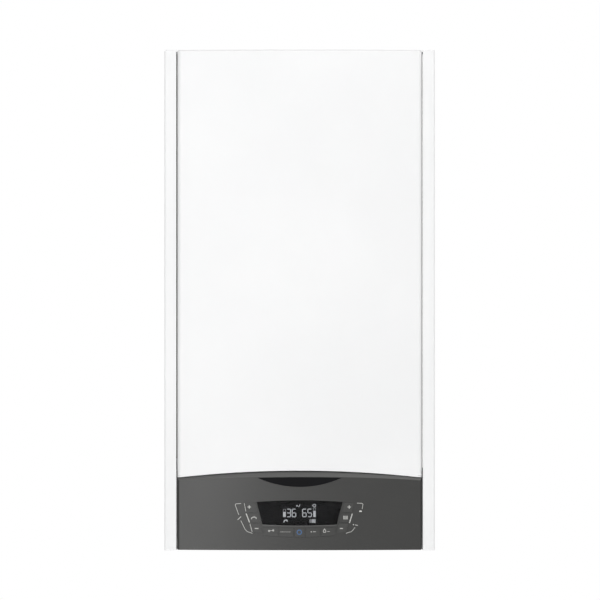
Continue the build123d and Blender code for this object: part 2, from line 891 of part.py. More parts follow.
def badge_outline():
    """The lens-shaped badge under the facia's bevel."""
    top = bevel_crown - badge_gap
    end = top - badge_end_drop
    return make_face(
        ThreePointArc((-badge_half, end), (0, top), (badge_half, end))
        + ThreePointArc((badge_half, end), (0, top - badge_height), (-badge_half, end))
    )


def column_x(height, top, foot):
    """Where a slanted key line stands at a height."""
    return foot + (top - foot) * (height - column_foot) / (column_top - column_foot)


def key_corners():
    """Each key's name and its four corners in x and height."""
    keys = {}
    roles = ("plus", "mode", "minus")
    step = (column_top - column_foot + key_spacing) / len(roles)
    for n, role in enumerate(roles):
        high = column_top - n * step
        low = high - step + key_spacing
        outer = [column_x(h, column_outer_top, column_outer_foot) for h in (low, high)]
        inner = [column_x(h, column_inner_top, column_inner_foot) for h in (low, high)]
        keys[f"key_water_{role}"] = [
            (-outer[0], low), (-inner[0], low), (-inner[1], high), (-outer[1], high)
        ]
        keys[f"key_heating_{role}"] = [
            (inner[0], low), (outer[0], low), (outer[1], high), (inner[1], high)
        ]
    side_key = (row_half - middle_key / 2 - 2 * key_spacing) / 2
    left = -row_half
    for name, width in zip(
        ("reset", "menu", "auto", "back", "test"), (side_key, side_key, middle_key, side_key, side_key)
    ):
        ends = (left, left + width)
        fall = [row_sag * (1 - (x / row_half) ** 2) for x in ends]
        keys[f"key_{name}"] = [
            (ends[0], row_foot - fall[0]), (ends[1], row_foot - fall[1]),
            (ends[1], row_top - fall[1] / 2), (ends[0], row_top - fall[0] / 2),
        ]
        left += width + key_spacing
    return keys


def make_key(corners):
    """A key cap with a lip behind the facia that keeps it in."""
    cap = front_prism(four_sided(corners, corner=key_corner), *through_front())
    lip = front_prism(grown(four_sided(corners), key_lip), *through_front())
    return (cap & bow_band(-key_proud, key_depth)) + (lip & bow_band(facia_wall + seat_gap, key_depth))


def make_facia():
    """The moulded front of the control panel."""
    outline = arched_outline(facia_crown, arch_drop, facia_foot, half=bow_half)
    outline = fillet(outline.vertices().group_by(Axis.Y)[0], foot_corner)
    outer = upright(front_plan(bow_half, 0, facia_rear, facia_corner), (0, casing_height))
    outer &= front_prism(outline, *through_front())
    outer -= bevel_tool()
    inner = bow_half - facia_wall
    hollow = upright(
        front_plan(inner, facia_wall, facia_rear + overrun, facia_corner - facia_wall), (0, casing_height)
    )
    hollow &= front_prism(
        arched_outline(facia_crown - facia_wall, arch_drop, facia_foot + facia_wall), *through_front()
    )
    hollow -= bevel_tool(lower=facia_wall * math.hypot(1, bevel_slope))
    facia = outer - hollow
    behind = (shelf_rear, facia_rear + overrun)
    facia -= block((-inner, inner), behind, (box_top + box_corner, facia_crown + overrun))
    facia -= front_prism(badge_outline(), *through_front()) & bow_band(-front_bow, badge_depth)
    facia -= front_prism(window_outline(), *through_front())
    for corners in key_corners().values():
        hole = grown(four_sided(corners, corner=key_corner), key_gap)
        facia -= front_prism(hole, *through_front())
    boss_x = box_half - boss_side
    for x in (-boss_x, boss_x):
        for height in (box_bottom + boss_inset, box_top - boss_inset):
            facia += bar_y(x, (bow_y(x, facia_wall / 2), box_front), height, boss_radius)
    return facia


def make_badge_insert():
    """The polished badge, let into the facia and left bare."""
    outline = grown(badge_outline(), -insert_gap)
    return front_prism(outline, *through_front()) & bow_band(0, badge_depth - insert_gap)


def make_display_window():
    """The smoked window, held behind the facia by its flange."""
    pane = front_prism(grown(window_outline(), -insert_gap), *through_front())
    flange = front_prism(grown(window_outline(), window_flange), *through_front())
    pane &= bow_band(window_recess, facia_wall + 2 * insert_gap)
    seat = facia_wall + insert_gap
    return pane + (flange & bow_band(seat, seat + window_flange_depth))


def make_lcd_module():
    """The display module, stepped along its lower edge, on the key board."""
    front, rear = key_board_y - lcd_thickness, key_board_y
    low, high = window_foot + lcd_margin, window_top - lcd_margin
    body = block((-lcd_half, lcd_half), (front, rear), (low, high))
    return body - block((-lcd_half, lcd_half), (front, front + lcd_step), (low, low + lcd_margin))


def make_key_board():
    """The board behind the keys, with a push switch for each."""
    board = block(
        (-board_half, board_half), (key_board_y, key_board_y + board_thickness), (board_bottom, board_top)
    )
    half = switch_body / 2
    for corners in key_corners().values():
        x = sum(c[0] for c in corners) / len(corners)
        height = sum(c[1] for c in corners) / len(corners)
        tip = bow_y(x, key_depth) + key_travel + switch_gap
        board += block(
            (x - half, x + half), (key_board_y - switch_height, key_board_y), (height - half, height + half)
        )
        board += bar_y(x, (tip, key_board_y), height, switch_radius)
    return board


# ------------------------------------------------------------------ control box
def main_board_pegs():
    """Where the main board's pegs stand, in x and height."""
    x = box_half - main_board_side - 2 * main_peg_radius
    rise = main_board_edge + 2 * main_peg_radius
    return [(side * x, h) for side in (-1, 1) for h in (box_bottom + rise, box_top - rise)]


def make_control_box():
    """The box behind the facia, open at the back, with a hinge pin on each side."""
    outer = block((-box_half, box_half), (box_front, box_rear), (box_bottom, box_top))
    outer = fillet(outer.edges().filter_by(Axis.Y), box_corner)
    outer -= block(
        (-box_half + box_wall, box_half - box_wall), (box_front + box_wall, box_rear + overrun),
        (box_bottom + box_wall, box_top - box_wall),
    )
    for x in (-board_half + peg_inset, board_half - peg_inset):
        for height in (board_bottom + peg_inset, board_top - peg_inset):
            reach = (key_board_y + board_thickness, box_front + box_wall / 2)
            outer += bar_y(x, reach, height, peg_radius)
    for x, height in main_board_pegs():
        reach = (box_front + box_wall / 2, box_front + box_wall + main_board_gap)
        outer += bar_y(x, reach, height, main_peg_radius)
    for side in (-1, 1):
        start = box_half - box_wall / 2
        outer += bar_x(both_sides(start, ear_x - seat_gap, side), pivot_y, pivot_height, collar_radius)
        pin_end = ear_x + ear_thickness + pivot_overhang
        outer += bar_x(both_sides(start, pin_end, side), pivot_y, pivot_height, pivot_radius)
    return outer


def make_control_box_lid():
    """The lid on the back of the box, with vents and cable holes."""
    lid = block((-box_half, box_half), (box_rear, box_rear + lid_thickness), (box_bottom, box_top))
    lid = fillet(lid.edges().filter_by(Axis.Y), box_corner)
    rim_edge = box_wall + seat_gap
    for edge, sign in ((rim_edge, 1), (rim_edge + lid_rim_wall, -1)):
        rim = block(
            (-box_half + edge, box_half - edge), (box_rear - lid_rim, box_rear),
            (box_bottom + edge, box_top - edge),
        )
        lid = lid + rim if sign > 0 else lid - rim
    through = (box_rear - lid_rim - overrun, box_rear + lid_thickness + overrun)
    slot_top = box_top - vent_slot_top
    for n in range(vent_slots):
        x = -box_half + vent_slot_side + n * vent_slot_pitch
        lid -= block((x, x + vent_slot_width), through, (slot_top - vent_slot_height, slot_top))
    for n in range(cable_hole_count):
        x = box_half - cable_hole_edge - n * cable_hole_pitch
        lid -= bar_y(x, through, box_bottom + cable_hole_height, cable_hole_radius)
    return lid


def make_main_board():
    """The main board, with its transformer, relays, capacitors and a row of plug sockets."""
    front = box_front + box_wall + main_board_gap
    face = front + board_thickness
    half = box_half - main_board_side
    low, high = box_bottom + main_board_edge, box_top - main_board_edge
    board = block((-half, half), (front, face), (low, high))

    def component(x, size, foot):
        return block((x, x + size[0]), (face, face + size[1]), (foot, foot + size[2]))

    foot = low + component_pitch / 2
    middle = foot + plug_socket[2] + component_pitch
    x = -half + transformer[0]
    board += component(x - transformer[0] / 2, transformer, middle - component_pitch)
    x += transformer[0] / 2 + component_pitch
    for n in range(relay_count):
        board += component(x + n * (relay[0] + component_pitch), relay, middle)
    x += relay_count * (relay[0] + component_pitch) + capacitor_radius
    for n in range(capacitor_count):
        place = x + n * (2 * capacitor_radius + component_pitch)
        rise = middle + 2 * capacitor_radius
        board += bar_y(place, (face, face + capacitor_length), rise, capacitor_radius)
    x += capacitor_count * (2 * capacitor_radius + component_pitch)
    board += component(x, processor, middle)
    row = plug_count * (plug_socket[0] + component_pitch) - component_pitch
    for n in range(plug_count):
        board += component(-row / 2 + n * (plug_socket[0] + component_pitch), plug_socket, foot)
    return board


# ------------------------------------------------------------------ lower pipework
def tail_sizes(x):
    """Thread radius and bore radius of the tail at x: the two water tails are the smaller ones."""
    small = x in (dhw_x, cold_x)
    return (water_thread, water_bore) if small else (heating_thread, heating_bore)


def make_pipe_tails():
    """Five threaded tails under the base, each with a hexagon and a neck up through the plate."""
    tails = []
    for x in tail_xs:
        thread, bore = tail_sizes(x)
        hex_foot = tail_foot + thread_length
        tail = post(x, -tail_depth, (tail_foot, hex_foot), thread)
        tail += hexagon(x, -tail_depth, (hex_foot, hex_foot + hex_height), thread + hex_land)
        tail += post(x, -tail_depth, (hex_foot, base_top), bore + neck_wall)
        tails.append(tail - post(x, -tail_depth, (tail_foot - overrun, base_top + overrun), bore))
    return Compound(tails)


def gland_places():
    """Where the cable glands stand, in x and y."""
    return [(inner_half - gland_side, -depth) for depth in gland_depths]


def make_cable_glands():
    """Two glands in the base, with a cap and a nut below it and a nut above."""
    glands = []
    foot = base_height - gland_cap
    for x, y in gland_places():
        gland = post(x, y, (foot, base_top + gland_nut), gland_radius)
        gland += post(x, y, (foot, base_height - gland_nut), gland_radius + gland_cap_step)
        gland += hexagon(x, y, (base_height - gland_nut, base_height), gland_radius + gland_land)
        gland += hexagon(x, y, (base_top, base_top + gland_locknut), gland_radius + gland_cap_step)
        through = (foot - overrun, base_top + gland_nut + overrun)
        glands.append(gland - post(x, y, through, gland_bore))
    return Compound(glands)


def make_flow_group():
    """The casting over the flow and hot water tails, with the diverter and the relief valve."""
    y = -tail_depth
    group = post(flow_x, y, (base_top, block_top), column_radius)
    group += post(dhw_x, y, (base_top, port_low + arm_radius + pipe_gap), water_column_radius)
    group += bar_x((flow_x, dhw_x), y, port_low, arm_radius)
    group += bar_x((flow_x, flow_spigot_x), y, relief_height, arm_radius)
    group += post(left_port_x, y, (port_low, relief_height), spigot_radius)
    group += post(flow_spigot_x, y, (relief_height, flow_spigot_top), spigot_radius)
    for height in (port_low, port_high):
        group += bar_y(left_port_x, (-plates_depth, y), height, port_radius)
    group += bar_y(relief_x, (-relief_depth, y), relief_height, relief_radius)
    nose = (-relief_depth - relief_nose, -relief_depth)
    group += bar_y(relief_x, nose, relief_height, relief_nose_radius)
    bore = (stem_foot - stem_travel, block_top + overrun)
    return group - post(flow_x, y, bore, stem_radius + stem_gap)


def make_relief_knob():
    """The fluted knob on the relief valve's nose."""
    rear = -relief_depth - seat_gap
    front = rear - relief_knob_length
    knob = bar_y(relief_x, (front, rear), relief_height, relief_knob_radius)
    reach = relief_knob_radius + knob_flute_radius / 2
    for x, height in ring_places(relief_x, relief_height, reach, knob_flutes):
        knob -= bar_y(x, (front - overrun, rear + overrun), height, knob_flute_radius)
    bore = (-relief_depth - relief_nose - seat_gap, rear + overrun)
    return knob - bar_y(relief_x, bore, relief_height, relief_nose_radius + turning_gap)


def make_diverter_stem():
    """The diverter valve's stem, with the collar that the actuator lifts."""
    stem = post(flow_x, -tail_depth, (stem_foot, yoke_top + stem_above), stem_radius)
    foot = block_top + stem_collar_gap
    collar = (foot, foot + stem_collar_height)
    return stem + post(flow_x, -tail_depth, collar, stem_radius + stem_collar)


def make_diverter_actuator():
    """The motor on two legs above the diverter block."""
    y = -tail_depth
    middle = y - actuator_shift
    top = yoke_top + actuator_height
    body = block(
        (flow_x - actuator_half, flow_x + actuator_half), (middle - actuator_half, middle + actuator_half),
        (yoke_top, top),
    )
    body = fillet(body.edges().filter_by(Axis.Z), actuator_corner)
    body += post(flow_x, y, (top, top + actuator_cap), actuator_cap_radius)
    for side in (-1, 1):
        x = flow_x + side * yoke_spread
        leg = (x - yoke_leg / 2, x + yoke_leg / 2)
        body += block(leg, (y - yoke_depth / 2, y + yoke_depth / 2), (block_top, yoke_top))
    hole = (yoke_top - overrun, yoke_top + stem_above + stem_travel + shaft_end_gap)
    return body - post(flow_x, y, hole, stem_radius + hole_gap)


def make_return_group():
    """The casting over the cold and return tails, with the pump's volute and the filling valve."""
    y = -tail_depth
    group = post(cold_x, y, (base_top, port_low + arm_radius + pipe_gap), water_column_radius)
    group += post(return_x, y, (base_top, pump_height - pump_can_radius - pipe_gap), column_radius)
    group += post(return_x, -return_depth, (port_low, pump_height - rotor_radius), spigot_radius)
    group += bar_x((right_port_x, return_x), y, port_low, arm_radius)
    arm_y = -volute_front + arm_radius + arm_inset
    group += bar_x((right_port_x, pump_x - rotor_radius), arm_y, port_high, arm_radius)
    for height in (port_low, port_high):
        group += bar_y(right_port_x, (-plates_depth, arm_y), height, port_radius)
    group += bar_y(pump_x, (-volute_front, -volute_rear), pump_height, volute_radius)
    outlet = (pump_height + volute_radius - spigot_radius, return_top)
    group += post(pump_x, -return_depth, outlet, spigot_radius)
    group += post(vent_x, -vent_depth, (port_high, vent_foot), vent_neck)
    group += post(vessel_port_x, -vessel_spigot_depth, (port_low, vessel_spigot_top), vessel_port_radius)
    group += post(filling_x, y, (base_top, port_low), filling_body)
    cavity = (-volute_front - overrun, -volute_front + volute_cavity)
    group -= bar_y(pump_x, cavity, pump_height, volute_radius - volute_wall)
    bore = (base_top - overrun, base_top + filling_seat + shaft_end_gap)
    return group - post(filling_x, y, bore, filling_stem + turning_gap)


def make_filling_knob():
    """The fluted knob of the filling valve, under the base."""
    y = -tail_depth
    top = filling_knob_foot + filling_knob_height
    knob = post(filling_x, y, (filling_knob_foot, top), filling_knob_radius)
    reach = filling_knob_radius + filling_flute_radius / 2
    for x, place in ring_places(filling_x, y, reach, filling_flutes):
        knob -= post(x, place, (filling_knob_foot - overrun, top + overrun), filling_flute_radius)
    return knob + post(filling_x, y, (filling_knob_foot, base_top + filling_seat), filling_stem)


def make_pump_motor():
    """The pump's motor, with its electronics box on top."""
    front = -pump_front
    motor = bar_y(pump_x, (front + pump_cap, -volute_front), pump_height, pump_can_radius)
    motor += bar_y(pump_x, (front, front + pump_cap), pump_height, pump_can_radius - pump_cap_step)
    width, depth, height = pump_box
    foot = pump_height + pump_can_radius - pump_box_sink
    rear = -volute_front - pump_cap
    motor += block((pump_x - width / 2, pump_x + width / 2), (rear - depth, rear), (foot, foot + height))
    bore = (-volute_front - shaft_seat - shaft_end_gap, -volute_front + overrun)
    return motor - bar_y(pump_x, bore, pump_height, stem_radius + turning_gap)


def make_pump_impeller():
    """The pump's wheel: six vanes between two plates, on its shaft."""
    front = -volute_front + rotor_setback
    rear = front + rotor_width
    wheel = bar_y(pump_x, (front, front + rotor_plate), pump_height, rotor_radius)
    wheel += bar_y(pump_x, (rear - rotor_plate, rear), pump_height, rotor_radius)
    wheel += bar_y(pump_x, (-volute_front - shaft_seat, rear), pump_height, stem_radius)
    vane = block(
        (pump_x + 2 * stem_radius, pump_x + rotor_radius - blade_inset), (front + overlap, rear - overlap),
        (pump_height - blade_width / 2, pump_height + blade_width / 2),
    )
    for n in range(rotor_vanes):
        wheel += turned(vane, pump_x, pump_height, 360 * n / rotor_vanes)
    return wheel


def make_air_vent():
    """The automatic air vent beside the pump."""
    top = vent_foot + vent_body
    vent = post(vent_x, -vent_depth, (vent_foot, top), vent_radius)
    return vent + post(vent_x, -vent_depth, (top, top + vent_cap), vent_cap_radius)


def make_plate_exchanger():
    """A stack of brazed plates; every other lamella stands a little proud."""
    width = plates_right - plates_left
    centre = Pos((plates_left + plates_right) / 2, (plates_bottom + plates_top) / 2)
    front = -plates_depth - plates_thickness
    pitch = plates_thickness / plate_count
    core = RectangleRounded(
        width - 2 * lamella_step, plates_height - 2 * lamella_step, plates_corner - lamella_step
    )
    stack = front_prism(centre * core, front, -plates_depth)
    lamella = centre * RectangleRounded(width, plates_height, plates_corner)
    for n in range(plate_count):
        stack += front_prism(lamella, front + n * pitch, front + (n + lamella_share) * pitch)
    return stack


# ------------------------------------------------------------------ expansion vessel
def vessel_form(grow, y_front, y_back):
    """The vessel's flat outline, grown all round, as a prism."""
    outline = RectangleRounded(
        2 * (vessel_half + grow), vessel_top - vessel_bottom + 2 * grow, vessel_corner + grow
    )
    return front_prism(Pos(0, (vessel_top + vessel_bottom) / 2) * outline, y_front, y_back)


def rounded_vessel(grow):
    """The vessel's pillow shape, grown or shrunk as a whole."""
    form = vessel_form(grow, -vessel_front - grow, back_face + grow)
    ends = form.faces().sort_by(Axis.Y)
    return fillet(ends[0].edges() + ends[-1].edges(), vessel_edge + grow)


def make_expansion_vessel():
    """The flat pressed vessel against the back sheet, with its seam and its port."""
    middle = (back_face - vessel_front) / 2
    half_seam = vessel_seam_width / 2
    vessel = rounded_vessel(0) + vessel_form(vessel_seam, middle - half_seam, middle + half_seam)
    port_top = vessel_bottom + vessel_edge
    vessel += post(vessel_port_x, -vessel_port_depth, (vessel_port_foot, port_top), vessel_port_radius)
    vessel -= rounded_vessel(-vessel_wall)
    bore = (vessel_port_foot - overrun, port_top + overrun)
    return vessel - post(vessel_port_x, -vessel_port_depth, bore, hose_radius - hose_wall)


def make_vessel_hose():
    """The hose from the pump casting up to the vessel."""
    points = [
        (vessel_port_x, -vessel_spigot_depth, vessel_spigot_top),
        (vessel_port_x, -vessel_spigot_depth, vessel_spigot_top + hose_run),
        (vessel_port_x, -vessel_port_depth, vessel_port_foot - hose_run),
        (vessel_port_x, -vessel_port_depth, vessel_port_foot),
    ]
    return tube(points, (hose_bend, hose_bend), hose_radius, hose_wall)


# ------------------------------------------------------------------ heat exchanger
def make_exchanger_shell():
    """The round stainless shell, with its flange, its ribs and its four connections."""
    rear, front = -frame_depth, -can_front
    left, right = -can_radius - port_reach, can_radius + port_reach
    foot = can_foot - condensate_reach
    flow_y, return_y = -flow_port_depth, -return_port_depth
    shell = bar_y(0, (front, rear), can_height, can_radius)
    shell += bar_y(0, (front, front + can_flange), can_height, can_flange_radius)
    for depth in can_ribs:
        shell += bar_y(0, (rear - depth - can_rib_width, rear - depth), can_height, can_radius + can_rib)
    shell += post(0, -flue_depth, (can_height, flue_stub_top), flue_stub_radius)
    shell += post(0, flow_y, (foot, can_height), pipe_radius)
    shell += bar_x((left, 0), flow_y, can_height, port_radius)
    shell += bar_x((0, right), return_y, can_height, port_radius)
    shell -= bar_y(0, (front - overrun, rear - can_wall), can_height, can_radius - can_wall)
    shell -= post(0, -flue_depth, (can_height, flue_stub_top + overrun), flue_stub_radius - can_wall)
    shell -= post(0, flow_y, (foot - overrun, can_height), pipe_radius - port_wall)
    shell -= bar_x((left - overrun, 0), flow_y, can_height, port_radius - port_wall)
    shell -= bar_x((0, right + overrun), return_y, can_height, port_radius - port_wall)
    return shell


def arc_pair(start, start_way, end, end_way):
    """Two tangent arcs from start to end that leave and arrive along the given directions."""
    chord = end - start
    along = chord.dot(start_way + end_way)
    spread = 2 * (1 - start_way.dot(end_way))
    reach = (-along + math.sqrt(along**2 + spread * chord.dot(chord))) / spread
    joint = (start + end + (start_way - end_way) * reach) / 2
    first = Edge.make_tangent_arc(start, start_way, joint)
    return [first, Edge.make_tangent_arc(joint, first.tangent_at(1), end)]


def make_exchanger_coil():
    """The water coil: an even helix round the burner, just inside the shell."""
    radius = can_radius - can_wall - coil_tube - coil_gap
    end = coil_tube + coil_end
    turns = int((can_length - can_wall - 2 * end) / coil_pitch)
    rise = coil_pitch / math.tau

    def at(angle):
        x, z = radius * math.cos(angle), up(can_height) + radius * math.sin(angle)
        return Vector(x, end - can_front + rise * angle, z)

    def way(angle):
        return Vector(-radius * math.sin(angle), rise, radius * math.cos(angle)).normalized()

    print("exchanger_coil least gap to itself:", round(coil_pitch * way(0).Z - 2 * coil_tube, 2))
    edges = []
    for quarter in range(4 * turns):
        a, b = quarter * math.pi / 2, (quarter + 1) * math.pi / 2
        edges += arc_pair(at(a), way(a), at(b), way(b))
    section = Circle(coil_tube) - Circle(coil_tube - coil_wall)
    return sweep(Plane(at(0), z_dir=way(0)) * section, path=Wire(edges))


def stud_places():
    """Where the door's studs stand, in x and height."""
    for n in range(stud_count):
        angle = math.tau * (n + 0.5) / stud_count
        yield stud_circle * math.cos(angle), can_height + stud_circle * math.sin(angle)


def electrode_places():
    """The spark electrode, and the flame sensor below it."""
    return [(-electrode_offset, can_height + rise) for rise in (electrode_spread, -electrode_spread)]


def make_burner():
    """The ribbed burner door, with the perforated burner tube behind it as a second solid."""
    rear = -can_front
    door = bar_y(0, (door_front, rear), can_height, can_flange_radius)
    door += bar_y(0, (manifold_seat, door_front), can_height, door_boss_radius)
    rib = block(
        (door_boss_radius - overlap, stud_circle - 2 * nut_half), (door_front - door_rib_rise, door_front),
        (can_height - door_rib / 2, can_height + door_rib / 2),
    )
    for n in range(door_ribs):
        door += turned(rib, 0, can_height, 360 * n / door_ribs)
    door -= bar_y(0, (manifold_seat - overrun, rear + overrun), can_height, manifold_radius - manifold_wall)
    through = (door_front - door_rib_rise - overrun, rear + overrun)
    for x, height in stud_places():
        door -= bar_y(x, through, height, stud_radius + stud_gap)
    for x, height in electrode_places():
        door -= bar_y(x, through, height, electrode_radius + electrode_gap)
    end = rear + can_length - burner_inset
    burner = bar_y(0, (rear, end), can_height, burner_radius)
    burner -= bar_y(0, (rear - overrun, end - burner_wall), can_height, burner_radius - burner_wall)
    return Compound([door.solid(), burner.solid()])


def make_door_nuts():
    """Studs on the shell's flange, each with the nut that holds the burner door."""
    nuts = []
    for x, height in stud_places():
        stud = bar_y(x, (door_front - stud_length, -can_front), height, stud_radius)
        place = Plane((x, door_front, up(height)), x_dir=(1, 0, 0), z_dir=(0, -1, 0))
        nuts.append(stud + extrude(place * RegularPolygon(nut_half, 6, major_radius=False), nut_height))
    return Compound(nuts)


def make_electrodes():
    """Two electrodes: a ceramic sleeve and collar in the door, with the rod through it."""
    rods = []
    for x, height in electrode_places():
        rod = bar_y(x, (door_front - electrode_reach, -can_front + can_flange), height, electrode_radius)
        collar = (door_front - electrode_collar_height, door_front)
        rod += bar_y(x, collar, height, electrode_collar)
        reach = (door_front - electrode_rod_reach, -can_front + electrode_rod_reach)
        rods.append(rod + bar_y(x, reach, height, electrode_rod))
    return Compound(rods)


# ------------------------------------------------------------------ flue
def make_flue_duct():
    """The duct from the exchanger's stub up to the socket for the flue pipe."""
    y = -flue_depth
    socket = flue_stub_radius + seat_gap
    ledge = flue_stub_top + flue_ledge
    step = ledge + flue_taper
    outer = flue_bore + flue_wall
    duct = post(0, y, (flue_stub_top - flue_overlap, ledge), socket + flue_wall)
    duct += Pos(0, y, up((ledge + step) / 2)) * Cone(socket + flue_wall, outer, flue_taper)
    duct += post(0, y, (step, duct_top), outer)
    duct -= post(0, y, (flue_stub_top - flue_overlap - overrun, flue_stub_top), socket)
    duct -= post(0, y, (flue_stub_top - overrun, duct_top - flue_socket), flue_bore - flue_ledge)
    return duct - post(0, y, (duct_top - flue_socket, duct_top + overrun), flue_bore)


def make_flue_collar():
    """The collar on the top plate, with webs round the duct and two capped test points."""
    y = -flue_depth
    outer = air_bore + flue_wall
    flange = (top_plate_top, top_plate_top + collar_flange_height)
    collar = post(0, y, (collar_foot, lip_top), outer) + post(0, y, flange, collar_flange)
    collar -= post(0, y, (collar_foot - overrun, lip_top + overrun), air_bore - air_stop)
    collar -= post(0, y, (duct_top + air_stop_gap, lip_top + overrun), air_bore)
    web = Pos(0, y, up(collar_foot + web_height / 2)) * Pos(
        (flue_bore + flue_wall + seat_gap + air_bore) / 2, 0, 0
    ) * Box(air_bore - flue_bore - flue_wall - seat_gap, web_width, web_height)
    for n in range(web_count):
        turn = Pos(0, y, 0) * Rot(0, 0, 360 * (n + 0.25) / web_count) * Pos(0, -y, 0)
        collar += turn * web
    caps = []
    seat = flange[1] + collar_flange_height
    for x in (-outer - test_port_offset, outer + test_port_offset):
        collar += post(x, y, (flange[1], seat), test_port_radius)
        caps.append(post(x, y, (seat, lip_top - test_cap_step), test_cap_radius))
    return Compound([collar.solid(), *(cap.solid() for cap in caps)])


# ------------------------------------------------------------------ fan, mixing and gas
def manifold_route():
    """The manifold's centre line, from the fan's outlet up and across to the burner door."""
    return [
        (fan_outlet_x, fan_y, fan_outlet_top + flange_thickness), (fan_outlet_x, fan_y, can_height),
        (fan_outlet_x - manifold_turn, manifold_front, can_height), (0, manifold_front, can_height),
        (0, manifold_seat, can_height),
    ]


def make_gas_air_manifold():
    """The cast manifold that carries gas and air from the fan to the burner."""
    foot = fan_outlet_top + flange_thickness
    half = fan_outlet_half + flange_land
    duct = tube(manifold_route(), manifold_bends, manifold_radius)
    duct += block(
        (fan_outlet_x - half, fan_outlet_x + half), (fan_y - half, fan_y + half),
        (foot, foot + flange_thickness),
    )
    duct += bar_y(0, (manifold_seat - flange_thickness, manifold_seat), can_height, door_boss_radius)
    return duct - tube(manifold_route(), manifold_bends, manifold_radius - manifold_wall)


def make_fan_housing():
    """The fan's casing, with its outlet duct and flange."""
    rear, front = -fan_rear, -fan_front
    half = fan_outlet_half
    duct = ((fan_outlet_x - half, fan_outlet_x + half), (fan_y - half, fan_y + half))
    flange = [(low - flange_land, high + flange_land) for low, high in duct]
    inner = [(low + fan_duct_wall, high - fan_duct_wall) for low, high in duct]
    top = fan_outlet_top + flange_thickness
    housing = bar_y(fan_x, (front, rear), fan_height, fan_radius)
    housing += block(*duct, (fan_height, fan_outlet_top)) + block(*flange, (fan_outlet_top, top))
    housing -= bar_y(fan_x, (front + fan_wall, rear - fan_wall), fan_height, fan_radius - fan_wall)
    housing -= block(*inner, (fan_height, top + overrun))
    inlet = (rear - fan_wall - overrun, rear + overrun)
    housing -= bar_y(fan_x, inlet, fan_height, venturi_radius - fan_inlet_step)
    hole = (front - overrun, front + fan_wall + overrun)
    return housing - bar_y(fan_x, hole, fan_height, stem_radius + hole_gap)


def make_fan_impeller():
    """The fan's wheel: blades between a back plate and a ring, on its shaft."""
    back = -fan_front + fan_wall + impeller_gap
    ring_back = back + impeller_plate + impeller_width
    ring_front = ring_back + impeller_plate
    wheel = bar_y(fan_x, (back, back + impeller_plate), fan_height, impeller_radius)
    wheel += bar_y(fan_x, (back, back + impeller_plate + impeller_nose), fan_height, impeller_hub)
    wheel += bar_y(fan_x, (-fan_front - shaft_seat, back + overlap), fan_height, stem_radius)
    blade = block(
        (fan_x + impeller_eye, fan_x + impeller_radius - blade_inset),
        (back + overlap, ring_back + overlap),
        (fan_height - blade_width / 2, fan_height + blade_width / 2),
    )
    for n in range(impeller_blades):
        wheel += turned(blade, fan_x, fan_height, 360 * n / impeller_blades)
    ring = bar_y(fan_x, (ring_back, ring_front), fan_height, impeller_radius)
    eye = bar_y(fan_x, (ring_back - overrun, ring_front + overrun), fan_height, impeller_eye + blade_width)
    return wheel + (ring - eye)


def make_fan_motor():
    """The fan's motor, with its plug socket below."""
    rear = -fan_front
    front = rear - fan_motor_length
    cap_rear = front + fan_motor_cap
    motor = bar_y(fan_x, (cap_rear, rear), fan_height, fan_motor_radius)
    motor += bar_y(fan_x, (front, cap_rear), fan_height, fan_motor_radius - fan_motor_step)
    width, depth, reach = fan_plug
    motor += block(
        (fan_x - width / 2, fan_x + width / 2), (rear - fan_plug_inset - depth, rear - fan_plug_inset),
        (fan_height - fan_motor_radius - reach, fan_height),
    )
    bore = (rear - shaft_seat - shaft_end_gap, rear + overrun)
    return motor - bar_y(fan_x, bore, fan_height, stem_radius + turning_gap)


def make_venturi():
    """The mixing piece behind the fan, with the air intake and the gas inlet."""
    rear, front = -venturi_rear, -fan_rear
    lip = intake_x + intake_lip
    body = bar_y(fan_x, (front, rear), fan_height, venturi_radius)
    body += bar_x((intake_x, fan_x), venturi_y, fan_height, intake_radius)
    body += bar_x((intake_x, lip), venturi_y, fan_height, intake_radius + intake_wall)
    body += post(fan_x, venturi_y, (gas_seat, fan_height), pipe_radius)
    mouth = venturi_radius - fan_inlet_step
    body -= bar_y(fan_x, (front - overrun, rear - venturi_end), fan_height, mouth)
    body -= bar_x((intake_x - overrun, fan_x), venturi_y, fan_height, intake_radius - intake_wall)
    return body - post(fan_x, venturi_y, (gas_seat - overrun, fan_height), pipe_radius - port_wall)


def make_gas_valve():
    """The gas valve's cast body, with its inlet and its two coils in front."""
    left, right = fan_x - valve_half, fan_x + valve_half
    valve = block((left, right), (-valve_front, -valve_rear), (valve_top - valve_height, valve_top))
    valve = fillet(valve.edges().filter_by(Axis.Y), valve_corner)
    valve += post(fan_x, venturi_y, (valve_top - valve_corner, gas_seat), pipe_radius)
    inlet = (left - valve_inlet, left + valve_corner)
    valve += bar_x(inlet, -valve_inlet_depth, gas_line, gas_radius + intake_wall)
    cap_y = -valve_front - coil_case
    for x in (fan_x - valve_half / 2, fan_x + valve_half / 2):
        valve += bar_y(x, (cap_y, -valve_front), gas_line, coil_case_radius)
        valve += bar_y(x, (cap_y - coil_case_cap, cap_y), gas_line, coil_case_radius / 3)
    return valve


def make_gas_pipe():
    """The gas pipe from its tail's union nut to the gas valve."""
    inlet_x = fan_x - valve_half - valve_inlet
    points = [
        (gas_x, -tail_depth, base_top), (gas_x, -tail_depth, gas_line),
        (gas_x, -valve_inlet_depth, gas_line), (inlet_x, -valve_inlet_depth, gas_line),
    ]
    nut_top = base_top + hex_height
    nut = hexagon(gas_x, -tail_depth, (base_top, nut_top), heating_bore + neck_wall + gas_nut_land)
    nut -= post(gas_x, -tail_depth, (base_top - overrun, nut_top + overrun), gas_radius - pipe_wall / 2)
    return tube(points, (gas_bend, gas_bend), gas_radius, pipe_wall) + nut


